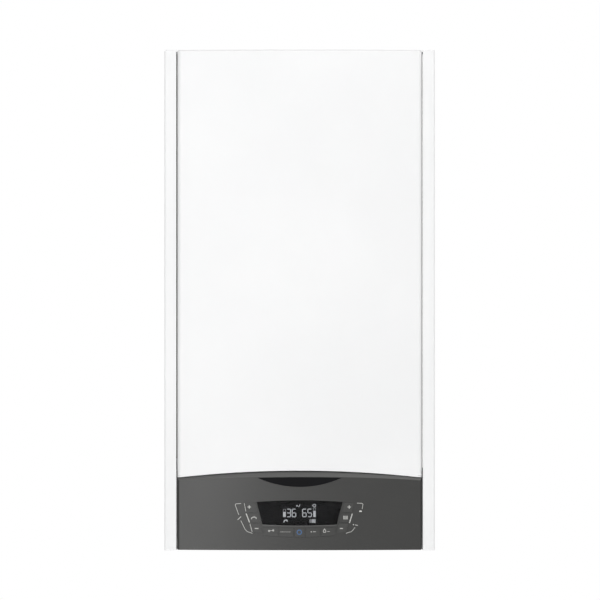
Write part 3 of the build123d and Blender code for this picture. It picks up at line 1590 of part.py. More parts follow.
# ------------------------------------------------------------------ heating pipes and condensate
def make_flow_pipe():
    """The copper pipe from the exchanger down to the flow casting."""
    left = -can_radius - port_reach
    outer = left - flow_pipe_side
    upper, lower = (flow_spigot_top + share * (can_height - flow_spigot_top) for share in flow_pipe_turns)
    points = [
        (left, -flow_port_depth, can_height), (outer, -flow_port_depth, can_height),
        (outer, -flow_port_depth, upper), (flow_spigot_x, -tail_depth, lower),
        (flow_spigot_x, -tail_depth, flow_spigot_top),
    ]
    return tube(points, flow_pipe_bends, pipe_radius, pipe_wall)


def make_return_pipe():
    """The copper pipe from the pump up to the exchanger."""
    right = can_radius + port_reach
    outer = right + return_pipe_side
    points = [
        (pump_x, -return_depth, return_top), (pump_x, -return_depth, return_top + return_pipe_run),
        (outer, -return_depth - return_pipe_step, return_top + return_pipe_rise),
        (outer, -return_port_depth, can_height - return_pipe_drop),
        (outer, -return_port_depth, can_height), (right, -return_port_depth, can_height),
    ]
    return tube(points, return_pipe_bends, pipe_radius, pipe_wall)


def make_condensate_hose():
    """The hose from the exchanger's drain to the trap."""
    drain = can_foot - condensate_reach
    corner_x, corner_depth = condensate_turn
    spigot_top = trap_top + trap_spigot
    points = [
        (0, -flow_port_depth, drain), (0, -flow_port_depth, drain - condensate_fall),
        (corner_x, -corner_depth, drain - 2 * condensate_fall),
        (trap_x, -trap_depth, spigot_top + condensate_rise), (trap_x, -trap_depth, spigot_top),
    ]
    return tube(points, condensate_bends, condensate_radius, hose_wall)


def make_condensate_trap():
    """The trap that stands on the base, with its outlet through it."""
    x, y = trap_x, -trap_depth
    cap_foot = trap_top - trap_cap
    trap = post(x, y, (trap_foot, cap_foot), trap_radius)
    trap += post(x, y, (cap_foot, trap_top), trap_radius + trap_cap_step)
    trap += post(x, y, (trap_top, trap_top + trap_spigot), condensate_radius)
    trap += post(x, y, (base_top, trap_foot), trap_radius - trap_neck)
    for rib_x, rib_y in ring_places(x, y, trap_radius, trap_ribs):
        trap += post(rib_x, rib_y, (trap_foot, trap_rib_top), trap_rib_radius)
    return trap + post(x, y, (condensate_foot, trap_foot), condensate_outlet)


# ------------------------------------------------------------------ write
def all_pieces():
    """Every piece by name."""
    right_panel = make_side_panel()
    pieces = {
        "wall_bracket": make_wall_bracket(),
        "rear_frame": make_rear_frame(),
        "top_plate": make_top_plate(),
        "base_plate": make_base_plate(),
        "right_side_panel": right_panel,
        "left_side_panel": mirrored(right_panel),
        "front_crossbar": make_front_crossbar(),
        "front_cover": make_front_cover(),
        "cover_screws": make_cover_screws(),
        "facia": make_facia(),
        "badge_insert": make_badge_insert(),
        "display_window": make_display_window(),
        "lcd_module": make_lcd_module(),
        "key_board": make_key_board(),
        "control_box": make_control_box(),
        "control_box_lid": make_control_box_lid(),
        "main_board": make_main_board(),
        "pipe_tails": make_pipe_tails(),
        "cable_glands": make_cable_glands(),
        "flow_group": make_flow_group(),
        "relief_knob": make_relief_knob(),
        "diverter_stem": make_diverter_stem(),
        "diverter_actuator": make_diverter_actuator(),
        "return_group": make_return_group(),
        "filling_knob": make_filling_knob(),
        "pump_motor": make_pump_motor(),
        "pump_impeller": make_pump_impeller(),
        "air_vent": make_air_vent(),
        "plate_exchanger": make_plate_exchanger(),
        "expansion_vessel": make_expansion_vessel(),
        "vessel_hose": make_vessel_hose(),
        "exchanger_shell": make_exchanger_shell(),
        "exchanger_coil": make_exchanger_coil(),
        "burner": make_burner(),
        "door_nuts": make_door_nuts(),
        "electrodes": make_electrodes(),
        "gas_air_manifold": make_gas_air_manifold(),
        "fan_housing": make_fan_housing(),
        "fan_impeller": make_fan_impeller(),
        "fan_motor": make_fan_motor(),
        "venturi": make_venturi(),
        "gas_valve": make_gas_valve(),
        "gas_pipe": make_gas_pipe(),
        "flow_pipe": make_flow_pipe(),
        "return_pipe": make_return_pipe(),
        "condensate_hose": make_condensate_hose(),
        "condensate_trap": make_condensate_trap(),
        "flue_duct": make_flue_duct(),
        "flue_collar": make_flue_collar(),
    }
    for name, corners in key_corners().items():
        pieces[name] = make_key(corners)
    return pieces


os.makedirs("parts", exist_ok=True)
for name, piece in all_pieces().items():
    export_step(piece, f"parts/{name}.step")
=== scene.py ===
import json
import math

import bmesh
import bpy
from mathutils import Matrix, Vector

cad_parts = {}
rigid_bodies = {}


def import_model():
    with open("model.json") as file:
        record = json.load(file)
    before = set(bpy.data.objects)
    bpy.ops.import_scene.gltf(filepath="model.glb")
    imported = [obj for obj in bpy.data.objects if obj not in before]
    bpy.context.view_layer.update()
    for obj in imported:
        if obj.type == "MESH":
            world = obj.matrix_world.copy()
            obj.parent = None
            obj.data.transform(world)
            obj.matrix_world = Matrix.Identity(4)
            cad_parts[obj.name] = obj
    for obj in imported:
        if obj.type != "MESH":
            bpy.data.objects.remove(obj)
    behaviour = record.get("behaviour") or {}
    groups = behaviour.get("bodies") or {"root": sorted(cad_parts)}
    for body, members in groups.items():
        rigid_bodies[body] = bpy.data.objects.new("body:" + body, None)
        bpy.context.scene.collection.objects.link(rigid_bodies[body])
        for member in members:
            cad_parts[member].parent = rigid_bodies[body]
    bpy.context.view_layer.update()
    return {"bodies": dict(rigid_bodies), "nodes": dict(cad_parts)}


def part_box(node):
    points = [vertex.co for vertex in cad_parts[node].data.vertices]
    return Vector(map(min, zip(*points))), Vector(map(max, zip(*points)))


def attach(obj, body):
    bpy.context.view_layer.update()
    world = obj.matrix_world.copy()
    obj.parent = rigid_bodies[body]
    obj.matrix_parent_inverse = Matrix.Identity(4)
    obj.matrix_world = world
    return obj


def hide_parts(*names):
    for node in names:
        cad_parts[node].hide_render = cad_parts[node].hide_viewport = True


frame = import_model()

nodes = frame["nodes"]

# ------------ room and light
# A plain white studio: an even sky, a large soft lamp on the left, a weaker one high on the right
# and a wide one above. The boiler hangs clear of a matt floor, which fades to white away from it.
floor_height, floor_half = -1.02, 9.0
shadow_reach = (0.9, 2.6)
sky_light = 0.52
camera_distance, frame_width = 9.0, 0.8876
aim = Vector((0.0006, -0.305, -0.3098))


def fed(tree, node, *ordered, **named):
    """Gives a node's sockets, in order or by name, a value or a link from a (node, output)."""
    sockets = [*zip(node.inputs, ordered)]
    sockets += [(node.inputs[key.replace("_", " ")], value) for key, value in named.items()]
    for socket, value in sockets:
        if isinstance(value, tuple) and isinstance(value[0], bpy.types.Node):
            tree.links.new(value[0].outputs[value[1]], socket)
        else:
            socket.default_value = value
    return node


def add(tree, kind, *ordered, settings=None, **named):
    """A new node with its settings and what its sockets are fed."""
    node = tree.nodes.new(kind)
    for key, value in (settings or {}).items():
        setattr(node, key, value)
    return fed(tree, node, *ordered, **named)


def worked(tree, operation, *terms, kind="ShaderNodeMath"):
    """The result of a sum on numbers, vectors or (node, output)."""
    return add(tree, kind, *terms, settings={"operation": operation}), 0


def blend(tree, factor, low, high):
    """The colour between two, each a colour or a (node, output)."""
    mix = add(tree, "ShaderNodeMix", settings={"data_type": "RGBA"}, Factor=factor, A=low, B=high)
    return mix, "Result"


def shown(name, data):
    """A new object in the scene."""
    obj = bpy.data.objects.new(name, data)
    bpy.context.scene.collection.objects.link(obj)
    return obj


def lamp(name, place, size, power):
    """A rectangular soft lamp that faces the boiler."""
    data = bpy.data.lights.new(name, "AREA")
    data.shape = "RECTANGLE"
    data.size, data.size_y = size
    data.energy = power
    obj = shown(name, data)
    obj.location = place
    obj.rotation_euler = (aim - Vector(place)).to_track_quat("-Z", "Y").to_euler()


lamp("left_softbox", (-1.5, -4.66, -0.35), (1.1, 1.6), 59)
lamp("right_softbox", (1.9, -3.3, 1.4), (0.9, 0.7), 33)
lamp("top_softbox", (-0.2, -3.2, 2.6), (2.4, 1.2), 14)

world = bpy.data.worlds.new("studio")
bpy.context.scene.world = world
world.use_nodes = True
sky = world.node_tree
sky.nodes.clear()
rays = add(sky, "ShaderNodeLightPath")
mirrored = worked(sky, "MAXIMUM", (rays, "Is Glossy Ray"), (rays, "Is Transmission Ray"))
seen = worked(sky, "MAXIMUM", (rays, "Is Camera Ray"), mirrored)
lighting_sky = add(sky, "ShaderNodeBackground", Color=(1, 1, 1, 1), Strength=sky_light)
white_sky = add(sky, "ShaderNodeBackground", Color=(1, 1, 1, 1), Strength=1.0)
either = add(sky, "ShaderNodeMixShader", seen, (lighting_sky, 0), (white_sky, 0))
add(sky, "ShaderNodeOutputWorld", Surface=(either, 0))

floor_mesh = bpy.data.meshes.new("floor")
floor_mesh.from_pydata(
    [(x * floor_half, y * floor_half, floor_height) for x, y in ((-1, -1), (1, -1), (1, 1), (-1, 1))],
    [], [(0, 1, 2, 3)],
)
floor = shown("floor", floor_mesh)
floor_paint = bpy.data.materials.new("floor paint")
floor_paint.use_nodes = True
tree = floor_paint.node_tree
tree.nodes.clear()
place = add(tree, "ShaderNodeTexCoord")
flat = worked(tree, "MULTIPLY", (place, "Object"), (1, 1, 0), kind="ShaderNodeVectorMath")
reach = add(tree, "ShaderNodeVectorMath", flat, settings={"operation": "LENGTH"})
fade = add(tree, "ShaderNodeMapRange", settings={"interpolation_type": "SMOOTHSTEP"},
           Value=(reach, "Value"), From_Min=shadow_reach[0], From_Max=shadow_reach[1])
rays = add(tree, "ShaderNodeLightPath")
away = worked(tree, "MULTIPLY", (rays, "Is Camera Ray"), (fade, 0))
speckle = add(tree, "ShaderNodeTexNoise", Vector=(place, "Object"), Scale=60.0, Detail=3.0)
shade = blend(tree, (speckle, "Fac"), (0.86, 0.86, 0.86, 1), (0.90, 0.90, 0.90, 1))
matt = add(tree, "ShaderNodeBsdfDiffuse", Color=shade)
white = add(tree, "ShaderNodeEmission", Strength=1.0)
lit = add(tree, "ShaderNodeMixShader", away, (matt, 0), (white, 0))
side = add(tree, "ShaderNodeNewGeometry")
clear = add(tree, "ShaderNodeBsdfTransparent")
one_way = add(tree, "ShaderNodeMixShader", (side, "Backfacing"), (lit, 0), (clear, 0))
add(tree, "ShaderNodeOutputMaterial", Surface=(one_way, 0))
floor_mesh.materials.append(floor_paint)

camera_data = bpy.data.cameras.new("camera")
camera_data.sensor_width = 36.0
camera_data.lens = camera_data.sensor_width * camera_distance / frame_width
camera_data.clip_end = 100.0
camera = shown("camera", camera_data)
camera.location = aim - Vector((0, camera_distance, 0))
camera.rotation_euler = (math.pi / 2, 0, 0)
bpy.context.scene.camera = camera
bpy.context.scene.view_settings.view_transform = "Standard"

# ------------ zinc-coated sheet
# The hanging bracket, back sheet, top, base and crossbar are pressed from zinc-coated steel.
# The zinc has faint crystals that differ a little in tone, and the sheet keeps the rolling lines.


def effect(name, size):
    """A new group of shader nodes: a vector and a size go in, a mask and a height come out."""
    tree = bpy.data.node_groups.new(name, "ShaderNodeTree")
    tree.interface.new_socket("Vector", in_out="INPUT", socket_type="NodeSocketVector")
    tree.interface.new_socket("Size", in_out="INPUT", socket_type="NodeSocketFloat").default_value = size
    for key in ("Mask", "Height"):
        tree.interface.new_socket(key, in_out="OUTPUT", socket_type="NodeSocketFloat")
    return tree, tree.nodes.new("NodeGroupInput"), tree.nodes.new("NodeGroupOutput")


def noise_in(tree, start, detail, stretch):
    """A noise that reads the group's vector, stretched or not, at the scale of its size."""
    place = (start, "Vector")
    if stretch:
        place = worked(tree, "MULTIPLY", place, stretch, kind="ShaderNodeVectorMath")
    return add(tree, "ShaderNodeTexNoise", Vector=place, Scale=(start, "Size"), Detail=detail)


def noisy(name, size, detail, low, high, stretch=None):
    """An effect of a single noise, whose mask runs from one level of it to another."""
    tree, start, end = effect(name, size)
    noise = noise_in(tree, start, detail, stretch)
    mask = add(tree, "ShaderNodeMapRange", Value=(noise, "Fac"), From_Min=low, From_Max=high)
    fed(tree, end, Mask=(mask, 0), Height=(noise, "Fac"))
    return tree


cloudy = noisy("handling marks", 9.0, 4.0, 0.35, 0.68)

crystal_share, rolling_share = 0.75, 0.3
spangled, start, end = effect("zinc crystals", 130.0)
cells = add(spangled, "ShaderNodeTexVoronoi", Vector=(start, "Vector"), Scale=(start, "Size"),
            Randomness=1.0)
tone = add(spangled, "ShaderNodeSeparateColor", (cells, "Color"))
lines = noise_in(spangled, start, 2.0, (6.0, 6.0, 0.15))
crystals = worked(spangled, "MULTIPLY", (tone, "Red"), crystal_share)
rolling = worked(spangled, "MULTIPLY", (lines, "Fac"), rolling_share)
fed(spangled, end, Mask=worked(spangled, "ADD", crystals, rolling), Height=(lines, "Fac"))


def finish(name, low, high, rough, metallic=0.0, pattern=cloudy, size=9.0, relief=0.0, grain=1400.0,
           grain_relief=0.0, **fixed):
    """A material whose colour and roughness run from low to high with a pattern's mask.

    A low that equals high is one plain colour. Reliefs are heights in metres, and what is fixed all
    over goes to the shader's own sockets."""
    material = bpy.data.materials.new(name)
    material.use_nodes = True
    tree = material.node_tree
    shader = tree.nodes["Principled BSDF"]
    place = add(tree, "ShaderNodeTexCoord")
    marks = add(tree, "ShaderNodeGroup", settings={"node_tree": pattern}, Vector=(place, "Object"),
                Size=size)
    colour = (*low, 1) if low == high else blend(tree, (marks, "Mask"), (*low, 1), (*high, 1))
    gloss = add(tree, "ShaderNodeMapRange", Value=(marks, "Mask"), To_Min=rough[0], To_Max=rough[1])
    fed(tree, shader, Metallic=metallic, Base_Color=colour, Roughness=(gloss, 0), **fixed)
    if relief or grain_relief:
        large = worked(tree, "MULTIPLY", (marks, "Height"), relief)
        fine = add(tree, "ShaderNodeTexNoise", Vector=(place, "Object"), Scale=grain, Detail=2.0)
        height = worked(tree, "MULTIPLY_ADD", (fine, "Fac"), grain_relief, large)
        bump = add(tree, "ShaderNodeBump", Strength=1.0, Distance=1.0, Height=height)
        fed(tree, shader, Normal=(bump, "Normal"))
    return material


def coat(material, *names):
    """Gives CAD nodes a material in place of the plain one that they came with."""
    for name in names:
        node = nodes[name]
        for slot in node.material_slots:
            slot.material = material
        if not node.material_slots:
            node.data.materials.append(material)


zinc = finish("zinc-coated sheet", (0.33, 0.345, 0.36), (0.47, 0.485, 0.50), (0.34, 0.50), 1.0, spangled,
              150.0, relief=0.00002)
coat(zinc, "wall_bracket", "rear_frame", "top_plate", "base_plate", "front_crossbar")

# ------------ frame screws
# Zinc-coated steel screws with hexagon heads and pressed washers hold the frame's sheets together.
# Each is driven home by hand, so that its flats stand at an angle of their own.
foot = -0.680


def at(x, y, height):
    """A place in metres, from x, y and the height above the casing's foot in mm."""
    return Vector((x / 1000, y / 1000, foot + height / 1000))


def recipe(name, *sizes):
    """A new geometry tree whose named inputs are sizes in metres, a seed and a finish."""
    tree = bpy.data.node_groups.new(name, "GeometryNodeTree")
    tree.interface.new_socket("Points", in_out="INPUT", socket_type="NodeSocketGeometry")
    for key in sizes:
        tree.interface.new_socket(key, in_out="INPUT", socket_type="NodeSocketFloat")
    tree.interface.new_socket("Seed", in_out="INPUT", socket_type="NodeSocketInt")
    tree.interface.new_socket("Finish", in_out="INPUT", socket_type="NodeSocketMaterial")
    tree.interface.new_socket("Pieces", in_out="OUTPUT", socket_type="NodeSocketGeometry")
    return tree, tree.nodes.new("NodeGroupInput"), tree.nodes.new("NodeGroupOutput")


def delivered(tree, start, last, end):
    """Ends a tree with plain faces in the chosen finish, and gives the tree back."""
    real = add(tree, "GeometryNodeRealizeInstances", last)
    painted = add(tree, "GeometryNodeSetMaterial", Geometry=(real, 0), Material=(start, "Finish"))
    fed(tree, end, (painted, 0))
    return tree


def repeated(tree, start, form, end, **turn):
    """Ends a tree with one copy of a form at each point, and gives the tree back."""
    copies = add(tree, "GeometryNodeInstanceOnPoints", Points=(start, "Points"), Instance=form, **turn)
    return delivered(tree, start, (copies, 0), end)


def facing(tree):
    """The rotation that turns a form's own axis to the way of its point."""
    outward = add(tree, "GeometryNodeInputNamedAttribute", settings={"data_type": "FLOAT_VECTOR"},
                  Name="out")
    return add(tree, "FunctionNodeAlignRotationToVector", settings={"axis": "Z"},
               Vector=(outward, "Attribute")), 0


def grown(tree, name, mesh, body, slot, **values):
    """Runs a tree over a mesh, and keeps what it makes as a plain piece on a body."""
    obj = shown(name, mesh)
    maker = obj.modifiers.new("maker", "NODES")
    maker.node_group = tree
    for item in tree.interface.items_tree:
        if item.in_out == "INPUT" and item.name in values:
            maker[item.identifier] = values[item.name]
    made = bpy.data.meshes.new_from_object(obj.evaluated_get(bpy.context.evaluated_depsgraph_get()))
    obj.modifiers.remove(maker)
    obj.data = made
    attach(obj, body)
    return obj


def dotted(name, spots, ways=()):
    """A mesh of loose points at places in mm, with the way that each faces."""
    points = bpy.data.meshes.new(name)
    points.from_pydata([at(*spot) for spot in spots], [], [])
    if ways:
        attribute = points.attributes.new("out", "FLOAT_VECTOR", "POINT")
        attribute.data.foreach_set("vector", [float(c) for way in ways for c in way])
    return points


tree, start, end = recipe("hexagon screws", "Flat", "Rise", "Washer")
head = add(tree, "GeometryNodeJoinGeometry")
corner_reach = 1.12
for corners, size, low, high, rise, lift in (   # the washer, the hexagon and its chamfered top
    (24, "Washer", 1.0, 0.9, 0.25, -0.04),
    (6, "Flat", corner_reach, corner_reach, 0.6, 0.2),
    (6, "Flat", corner_reach, 0.9, 0.2, 0.8),
):
    layer = add(tree, "GeometryNodeMeshCone", Vertices=corners,
                Radius_Bottom=worked(tree, "MULTIPLY", (start, size), low),
                Radius_Top=worked(tree, "MULTIPLY", (start, size), high),
                Depth=worked(tree, "MULTIPLY", (start, "Rise"), rise))
    up = add(tree, "ShaderNodeCombineXYZ", Z=worked(tree, "MULTIPLY", (start, "Rise"), lift))
    raised = add(tree, "GeometryNodeTransform", Geometry=(layer, "Mesh"), Translation=(up, 0))
    fed(tree, head, (raised, 0))
stand = facing(tree)
chance = add(tree, "FunctionNodeRandomValue", settings={"data_type": "FLOAT"},
             Seed=(start, "Seed"))
chance.inputs[3].default_value = math.tau   # the socket for the greatest turn
spin = add(tree, "FunctionNodeAxisAngleToRotation", Axis=(0, 0, 1), Angle=(chance, 1))
turn = add(tree, "FunctionNodeRotateRotation", stand, (spin, 0), settings={"rotation_space": "LOCAL"})
hexagon_screws = repeated(tree, start, (head, 0), end, Rotation=(turn, 0))
turn_seed, rise_share, washer_share = 7, 0.8, 1.5625


def fastened(name, heads, flat, body="casing"):
    """Screws of one size in mm on a body, as places in mm with the way that their heads face."""
    flat = flat / 1000
    grown(hexagon_screws, name, dotted(name, *zip(*heads)), body, "zinc_steel", Flat=flat,
          Rise=flat * rise_share, Washer=flat * washer_share, Seed=turn_seed, Finish=zinc)


def round_places(middle, radius, count, way, first):
    """Places on a circle that faces along y or upwards, from an angle in degrees, with that direction."""
    x, y, height = middle
    spots = []
    for n in range(count):
        angle = math.radians(first + 360 * n / count)
        a, b = radius * math.cos(angle), radius * math.sin(angle)
        spots.append(((x + a, y, height + b) if way[1] else (x + a, y + b, height), way))
    return spots


ahead, behind, upwards = (0, -1, 0), (0, 1, 0), (0, 0, 1)
sides = (-1, 1)
frame_heads = [((side * 186, -14, height), behind) for side in sides for height in (30, 200, 370, 540, 700)]
frame_heads += [((side * 187, y, 728), upwards) for side in sides for y in (-20, -120, -240)]
frame_heads += [((side * 190, -277.5, 123), ahead) for side in sides]
fastened("frame_screws", frame_heads, 3.6)

# ------------ expansion vessel
# Two pressed halves rolled together at the seam and painted satin red over a fine orange peel.
# A black rubber hose joins it to the pump casting, held by a clip at each end.
vessel_paint = finish("vessel red", (0.30, 0.018, 0.014), (0.40, 0.030, 0.022), (0.30, 0.44), size=14.0,
                      grain=500.0, grain_relief=0.00005, Coat_Weight=0.2)
coat(vessel_paint, "expansion_vessel")
rubber = finish("black rubber", (0.012, 0.012, 0.013), (0.028, 0.028, 0.028), (0.50, 0.72), size=30.0,
                grain=900.0, grain_relief=0.00004)
coat(rubber, "vessel_hose")


def turned(form, profile, base, way, count=32):
    """Turns a closed profile of (radius, distance along the way) in mm round a line from base."""
    way = Vector(way)
    side = way.orthogonal().normalized()
    other = way.cross(side)
    rings = []
    for radius, along in profile:
        middle = Vector(base) + way * along
        steps = [math.tau * n / count for n in range(count)] if radius else [0]
        rings.append([form.verts.new(at(*(middle + (side * math.cos(a) + other * math.sin(a)) * radius)))
                      for a in steps])
    for low, high in zip(rings, rings[1:] + rings[:1]):
        for n in range(count):
            m = (n + 1) % count
            corners = [low[n % len(low)], low[m % len(low)], high[m % len(high)], high[n % len(high)]]
            corners = list(dict.fromkeys(corners))
            if len(corners) > 2:
                form.faces.new(corners)


def pressed(form, low, high, bevel=0.6):
    """A block with rounded edges between two corners in mm."""
    low, high = at(*low), at(*high)
    cube = bmesh.ops.create_cube(form, size=1.0)["verts"]
    for corner in cube:
        corner.co = (low + high) / 2 + corner.co * (high - low)
    edges = list(dict.fromkeys(edge for corner in cube for edge in corner.link_edges))
    bmesh.ops.bevel(form, geom=edges, offset=bevel / 1000, segments=2, affect="EDGES", profile=0.6)


def piece(form, name, material, body):
    """Makes a form one named piece that rides on a body."""
    bmesh.ops.recalc_face_normals(form, faces=form.faces)
    mesh = bpy.data.meshes.new(name)
    form.to_mesh(mesh)
    form.free()
    mesh.materials.append(material)
    obj = shown(name, mesh)
    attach(obj, body)
    return obj


clip_places = ((-78, 129), (-45, 184))
clips = bmesh.new()
for y, height in clip_places:
    turned(clips, [(6.0, 0), (6.9, 0), (6.9, 7), (6.0, 7)], (80, y, height), upwards)
for y, height in clip_places:   # the blocks come last, so that the faces keep one order in every run
    pressed(clips, (76, y - 10, height - 0.5), (84, y - 6.4, height + 7.5))
piece(clips, "hose_clips", zinc, "casing")

# ------------ side panels
# Folded steel sheet with a white powder coat, baked on, whose surface has a slight orange peel.
# The panels are screwed to the back sheet behind and to the crossbar in front.
enamel = finish("white powder coat", (0.845, 0.848, 0.850), (0.875, 0.877, 0.878), (0.44, 0.50), size=5.0,
                grain=700.0, grain_relief=0.000012)
coat(enamel, "left_side_panel", "right_side_panel")

# ------------ heat exchanger
# A round stainless shell with a coil of stainless tube in it, closed by a cast door with six nuts.
# The door sits on a graphite gasket, and has a sight glass and two electrodes in glazed ceramic.
# A rippled weld runs round the shell's rim and round each of its two ports.
brushed = noisy("brushing", 40.0, 5.0, 0.3, 0.7, (1.0, 30.0, 1.0))
stainless = finish("brushed stainless", (0.50, 0.49, 0.47), (0.66, 0.65, 0.63), (0.26, 0.42), 1.0, brushed,
                   40.0, relief=0.00003)
coat(stainless, "exchanger_shell", "exchanger_coil")

casting_skin = noisy("casting skin", 260.0, 6.0, 0.3, 0.72)
cast = finish("cast aluminium", (0.25, 0.255, 0.26), (0.35, 0.355, 0.36), (0.46, 0.60), 0.9, casting_skin,
              800.0, relief=0.00012)
coat(cast, "burner", "gas_air_manifold", "fan_housing", "venturi", "gas_valve")
ceramic = finish("glazed ceramic", (0.70, 0.68, 0.64), (0.80, 0.79, 0.76), (0.12, 0.24), size=60.0,
                 grain_relief=0.00002)
coat(ceramic, "electrodes")
coat(zinc, "door_nuts", "cover_screws")
gasket = finish("graphite gasket", (0.020, 0.020, 0.022), (0.050, 0.050, 0.052), (0.5, 0.7), size=120.0,
                grain=1500.0, grain_relief=0.00005)
shell_height, sight_place = 500, (60.6, -244, 535)
rightwards = (1, 0, 0)
seal = bmesh.new()
turned(seal, [(112, 0), (118.7, 0), (118.7, 1.6), (112, 1.6)], (0, -235.2, shell_height), ahead, count=96)
piece(seal, "door_gasket", gasket, "casing")
porthole = bmesh.new()
turned(porthole, [(5.5, -0.5), (9.5, -0.5), (9.5, 2.6), (8.6, 3.6), (6.4, 3.6), (5.5, 2.8)], sight_place,
       ahead)
piece(porthole, "sight_ring", stainless, "casing")
pane = finish("sight pane", (0.010, 0.016, 0.030), (0.020, 0.030, 0.050), (0.04, 0.10), size=60.0,
              grain_relief=0.000005)
glass = bmesh.new()
turned(glass, [(0, -0.5), (5.7, -0.5), (5.7, 1.6), (3.6, 2.3), (0, 2.5)], sight_place, ahead)
piece(glass, "sight_pane", pane, "casing")
fastened("burner_flange_screws", round_places((0, -256, shell_height), 24.5, 4, ahead, first=45), 3.2)


def swept(tree, path, radius, corners, **more):
    """A rod with a number of corners, drawn along a path."""
    section = add(tree, "GeometryNodeCurvePrimitiveCircle", Resolution=corners, Radius=radius)
    return add(tree, "GeometryNodeCurveToMesh", Curve=path, Profile_Curve=(section, "Curve"), **more), 0


tree, start, end = recipe("weld beads", "Radius", "Thickness", "Ripple")
loop = add(tree, "GeometryNodeCurvePrimitiveCircle", Resolution=360, Radius=(start, "Radius"))
run = add(tree, "GeometryNodeSplineParameter")
waves = worked(tree, "DIVIDE", (run, "Length"), (start, "Ripple"))
swell = add(tree, "ShaderNodeMapRange", Value=worked(tree, "FRACT", waves), To_Min=0.72, To_Max=1.0)
bead = swept(tree, (loop, "Curve"), (start, "Thickness"), 8, Scale=(swell, 0))
weld_beads = repeated(tree, start, bead, end, Rotation=facing(tree))
weld_ripple = 0.0022


def welded(name, spots, radius, thickness):
    """Weld beads round tubes and shells, at places in mm with the way of their axis."""
    grown(weld_beads, name, dotted(name, *zip(*spots)), "casing", "stainless", Radius=radius / 1000,
          Thickness=thickness / 1000, Ripple=weld_ripple, Finish=stainless)


welded("shell_weld", [((0, -229.6, shell_height), ahead)], 108.4, 1.7)
ports = [((-108.6, -215, shell_height), rightwards), ((108.6, -118, shell_height), rightwards)]
welded("port_welds", ports, 11.3, 1.1)

# ------------ plate exchanger
# A stack of thin stainless plates, brazed together with copper in a vacuum furnace.
# The copper shows as a fine line at every seam on its sides.
plate_pitch, stack_back = 0.0041667, 0.168
brazed_seams, start, end = effect("brazed seams", plate_pitch)
depth = add(brazed_seams, "ShaderNodeSeparateXYZ", (start, "Vector"))
from_back = worked(brazed_seams, "ADD", (depth, "Y"), stack_back)
plates = worked(brazed_seams, "DIVIDE", from_back, (start, "Size"))
seam = add(brazed_seams, "ShaderNodeMapRange", Value=worked(brazed_seams, "FRACT", plates), From_Min=0.56,
           From_Max=0.64)
grit = add(brazed_seams, "ShaderNodeTexNoise", Vector=(start, "Vector"), Scale=900.0, Detail=3.0)
fed(brazed_seams, end, Mask=(seam, 0), Height=(grit, "Fac"))
brazed = finish("brazed plates", (0.58, 0.57, 0.55), (0.55, 0.27, 0.15), (0.28, 0.5), 1.0, brazed_seams,
                plate_pitch, relief=0.00003)
coat(brazed, "plate_exchanger")

# ------------ motors
# The fan's and the pump's motors have deep-drawn steel cans in satin black paint, held by screws.
# A plug for venting closes the pump's nose, and its moulded terminal box has upright ribs.
motor_paint = finish("motor black", (0.020, 0.020, 0.022), (0.034, 0.034, 0.036), (0.34, 0.5), size=20.0,
                     grain=800.0, grain_relief=0.00003)
coat(motor_paint, "fan_motor", "pump_motor")
fan_x, fan_height = 104.96, 350.1
pump_nose = (130, -170, 128)
fastened("fan_screws", round_places((fan_x, -215, fan_height), 59, 6, ahead, first=20), 3.0)
fastened("fan_motor_screws", round_places((fan_x, -258, fan_height), 28, 3, ahead, first=90), 2.2)
fastened("pump_screws", round_places(pump_nose, 33, 4, ahead, first=45), 2.8)
vent_plug = bmesh.new()
turned(vent_plug, [(0, -0.5), (9, -0.5), (9, 2.0), (8.2, 2.8), (5.0, 2.8), (5.0, 1.4), (0, 1.4)], pump_nose,
       ahead)
piece(vent_plug, "pump_vent_plug", zinc, "casing")

tree, start, end = recipe("cooling ribs", "Width", "Depth", "Height")
size = add(tree, "ShaderNodeCombineXYZ", (start, "Width"), (start, "Depth"), (start, "Height"))
rib = add(tree, "GeometryNodeMeshCube", Size=(size, 0))
cooling_ribs = repeated(tree, start, (rib, "Mesh"), end)
rib_spots = [(104 + 4 * n, -156.4, 177) for n in range(14)]
grown(cooling_ribs, "pump_box_ribs", dotted("pump_box_ribs", rib_spots), "casing", "motor_black",
      Width=0.0014, Depth=0.0016, Height=0.024, Finish=motor_paint)

# ------------ gas valve fittings
# Black moulded plugs sit on the valve's two coils, and two die-cast nipples take a pressure gauge.
# Four screws hold the front of the valve's housing.
plugs = bmesh.new()
for x in (fan_x - 20, fan_x + 20):
    pressed(plugs, (x - 7, -203, 257.6), (x + 7, -188, 267), 1.0)
    pressed(plugs, (x - 5, -200, 266), (x + 5, -191, 271), 0.8)
piece(plugs, "coil_plugs", motor_paint, "casing")
nipples = bmesh.new()
for x in (fan_x - 7, fan_x + 7):
    turned(nipples, [(0, -1), (3.4, -1), (3.4, 2.4), (2.3, 3.0), (2.3, 8.0), (1.7, 9.0), (0, 9.0)],
           (x, -185, 222), ahead, count=20)
piece(nipples, "pressure_nipples", cast, "casing")
valve_heads = [((x, -185, height), ahead) for x in (71.5, 138.5) for height in (222, 268.5)]
fastened("gas_valve_screws", valve_heads, 3.0)

# ------------ pipes and castings
# Copper pipes, bent to shape and slightly tarnished, carry the heating water and the gas.
# The water groups are forged in brass, blasted clean, and machined where something screws on.
copper = finish("copper tube", (0.62, 0.26, 0.15), (0.78, 0.40, 0.26), (0.22, 0.42), 1.0, cloudy, 18.0,
                grain=1200.0, grain_relief=0.00002)
coat(copper, "flow_pipe", "return_pipe", "gas_pipe")
brass = finish("forged brass", (0.52, 0.38, 0.16), (0.70, 0.54, 0.26), (0.28, 0.48), 1.0, casting_skin,
               220.0, relief=0.00008)
coat(brass, "flow_group", "return_group", "pipe_tails", "diverter_stem", "air_vent")

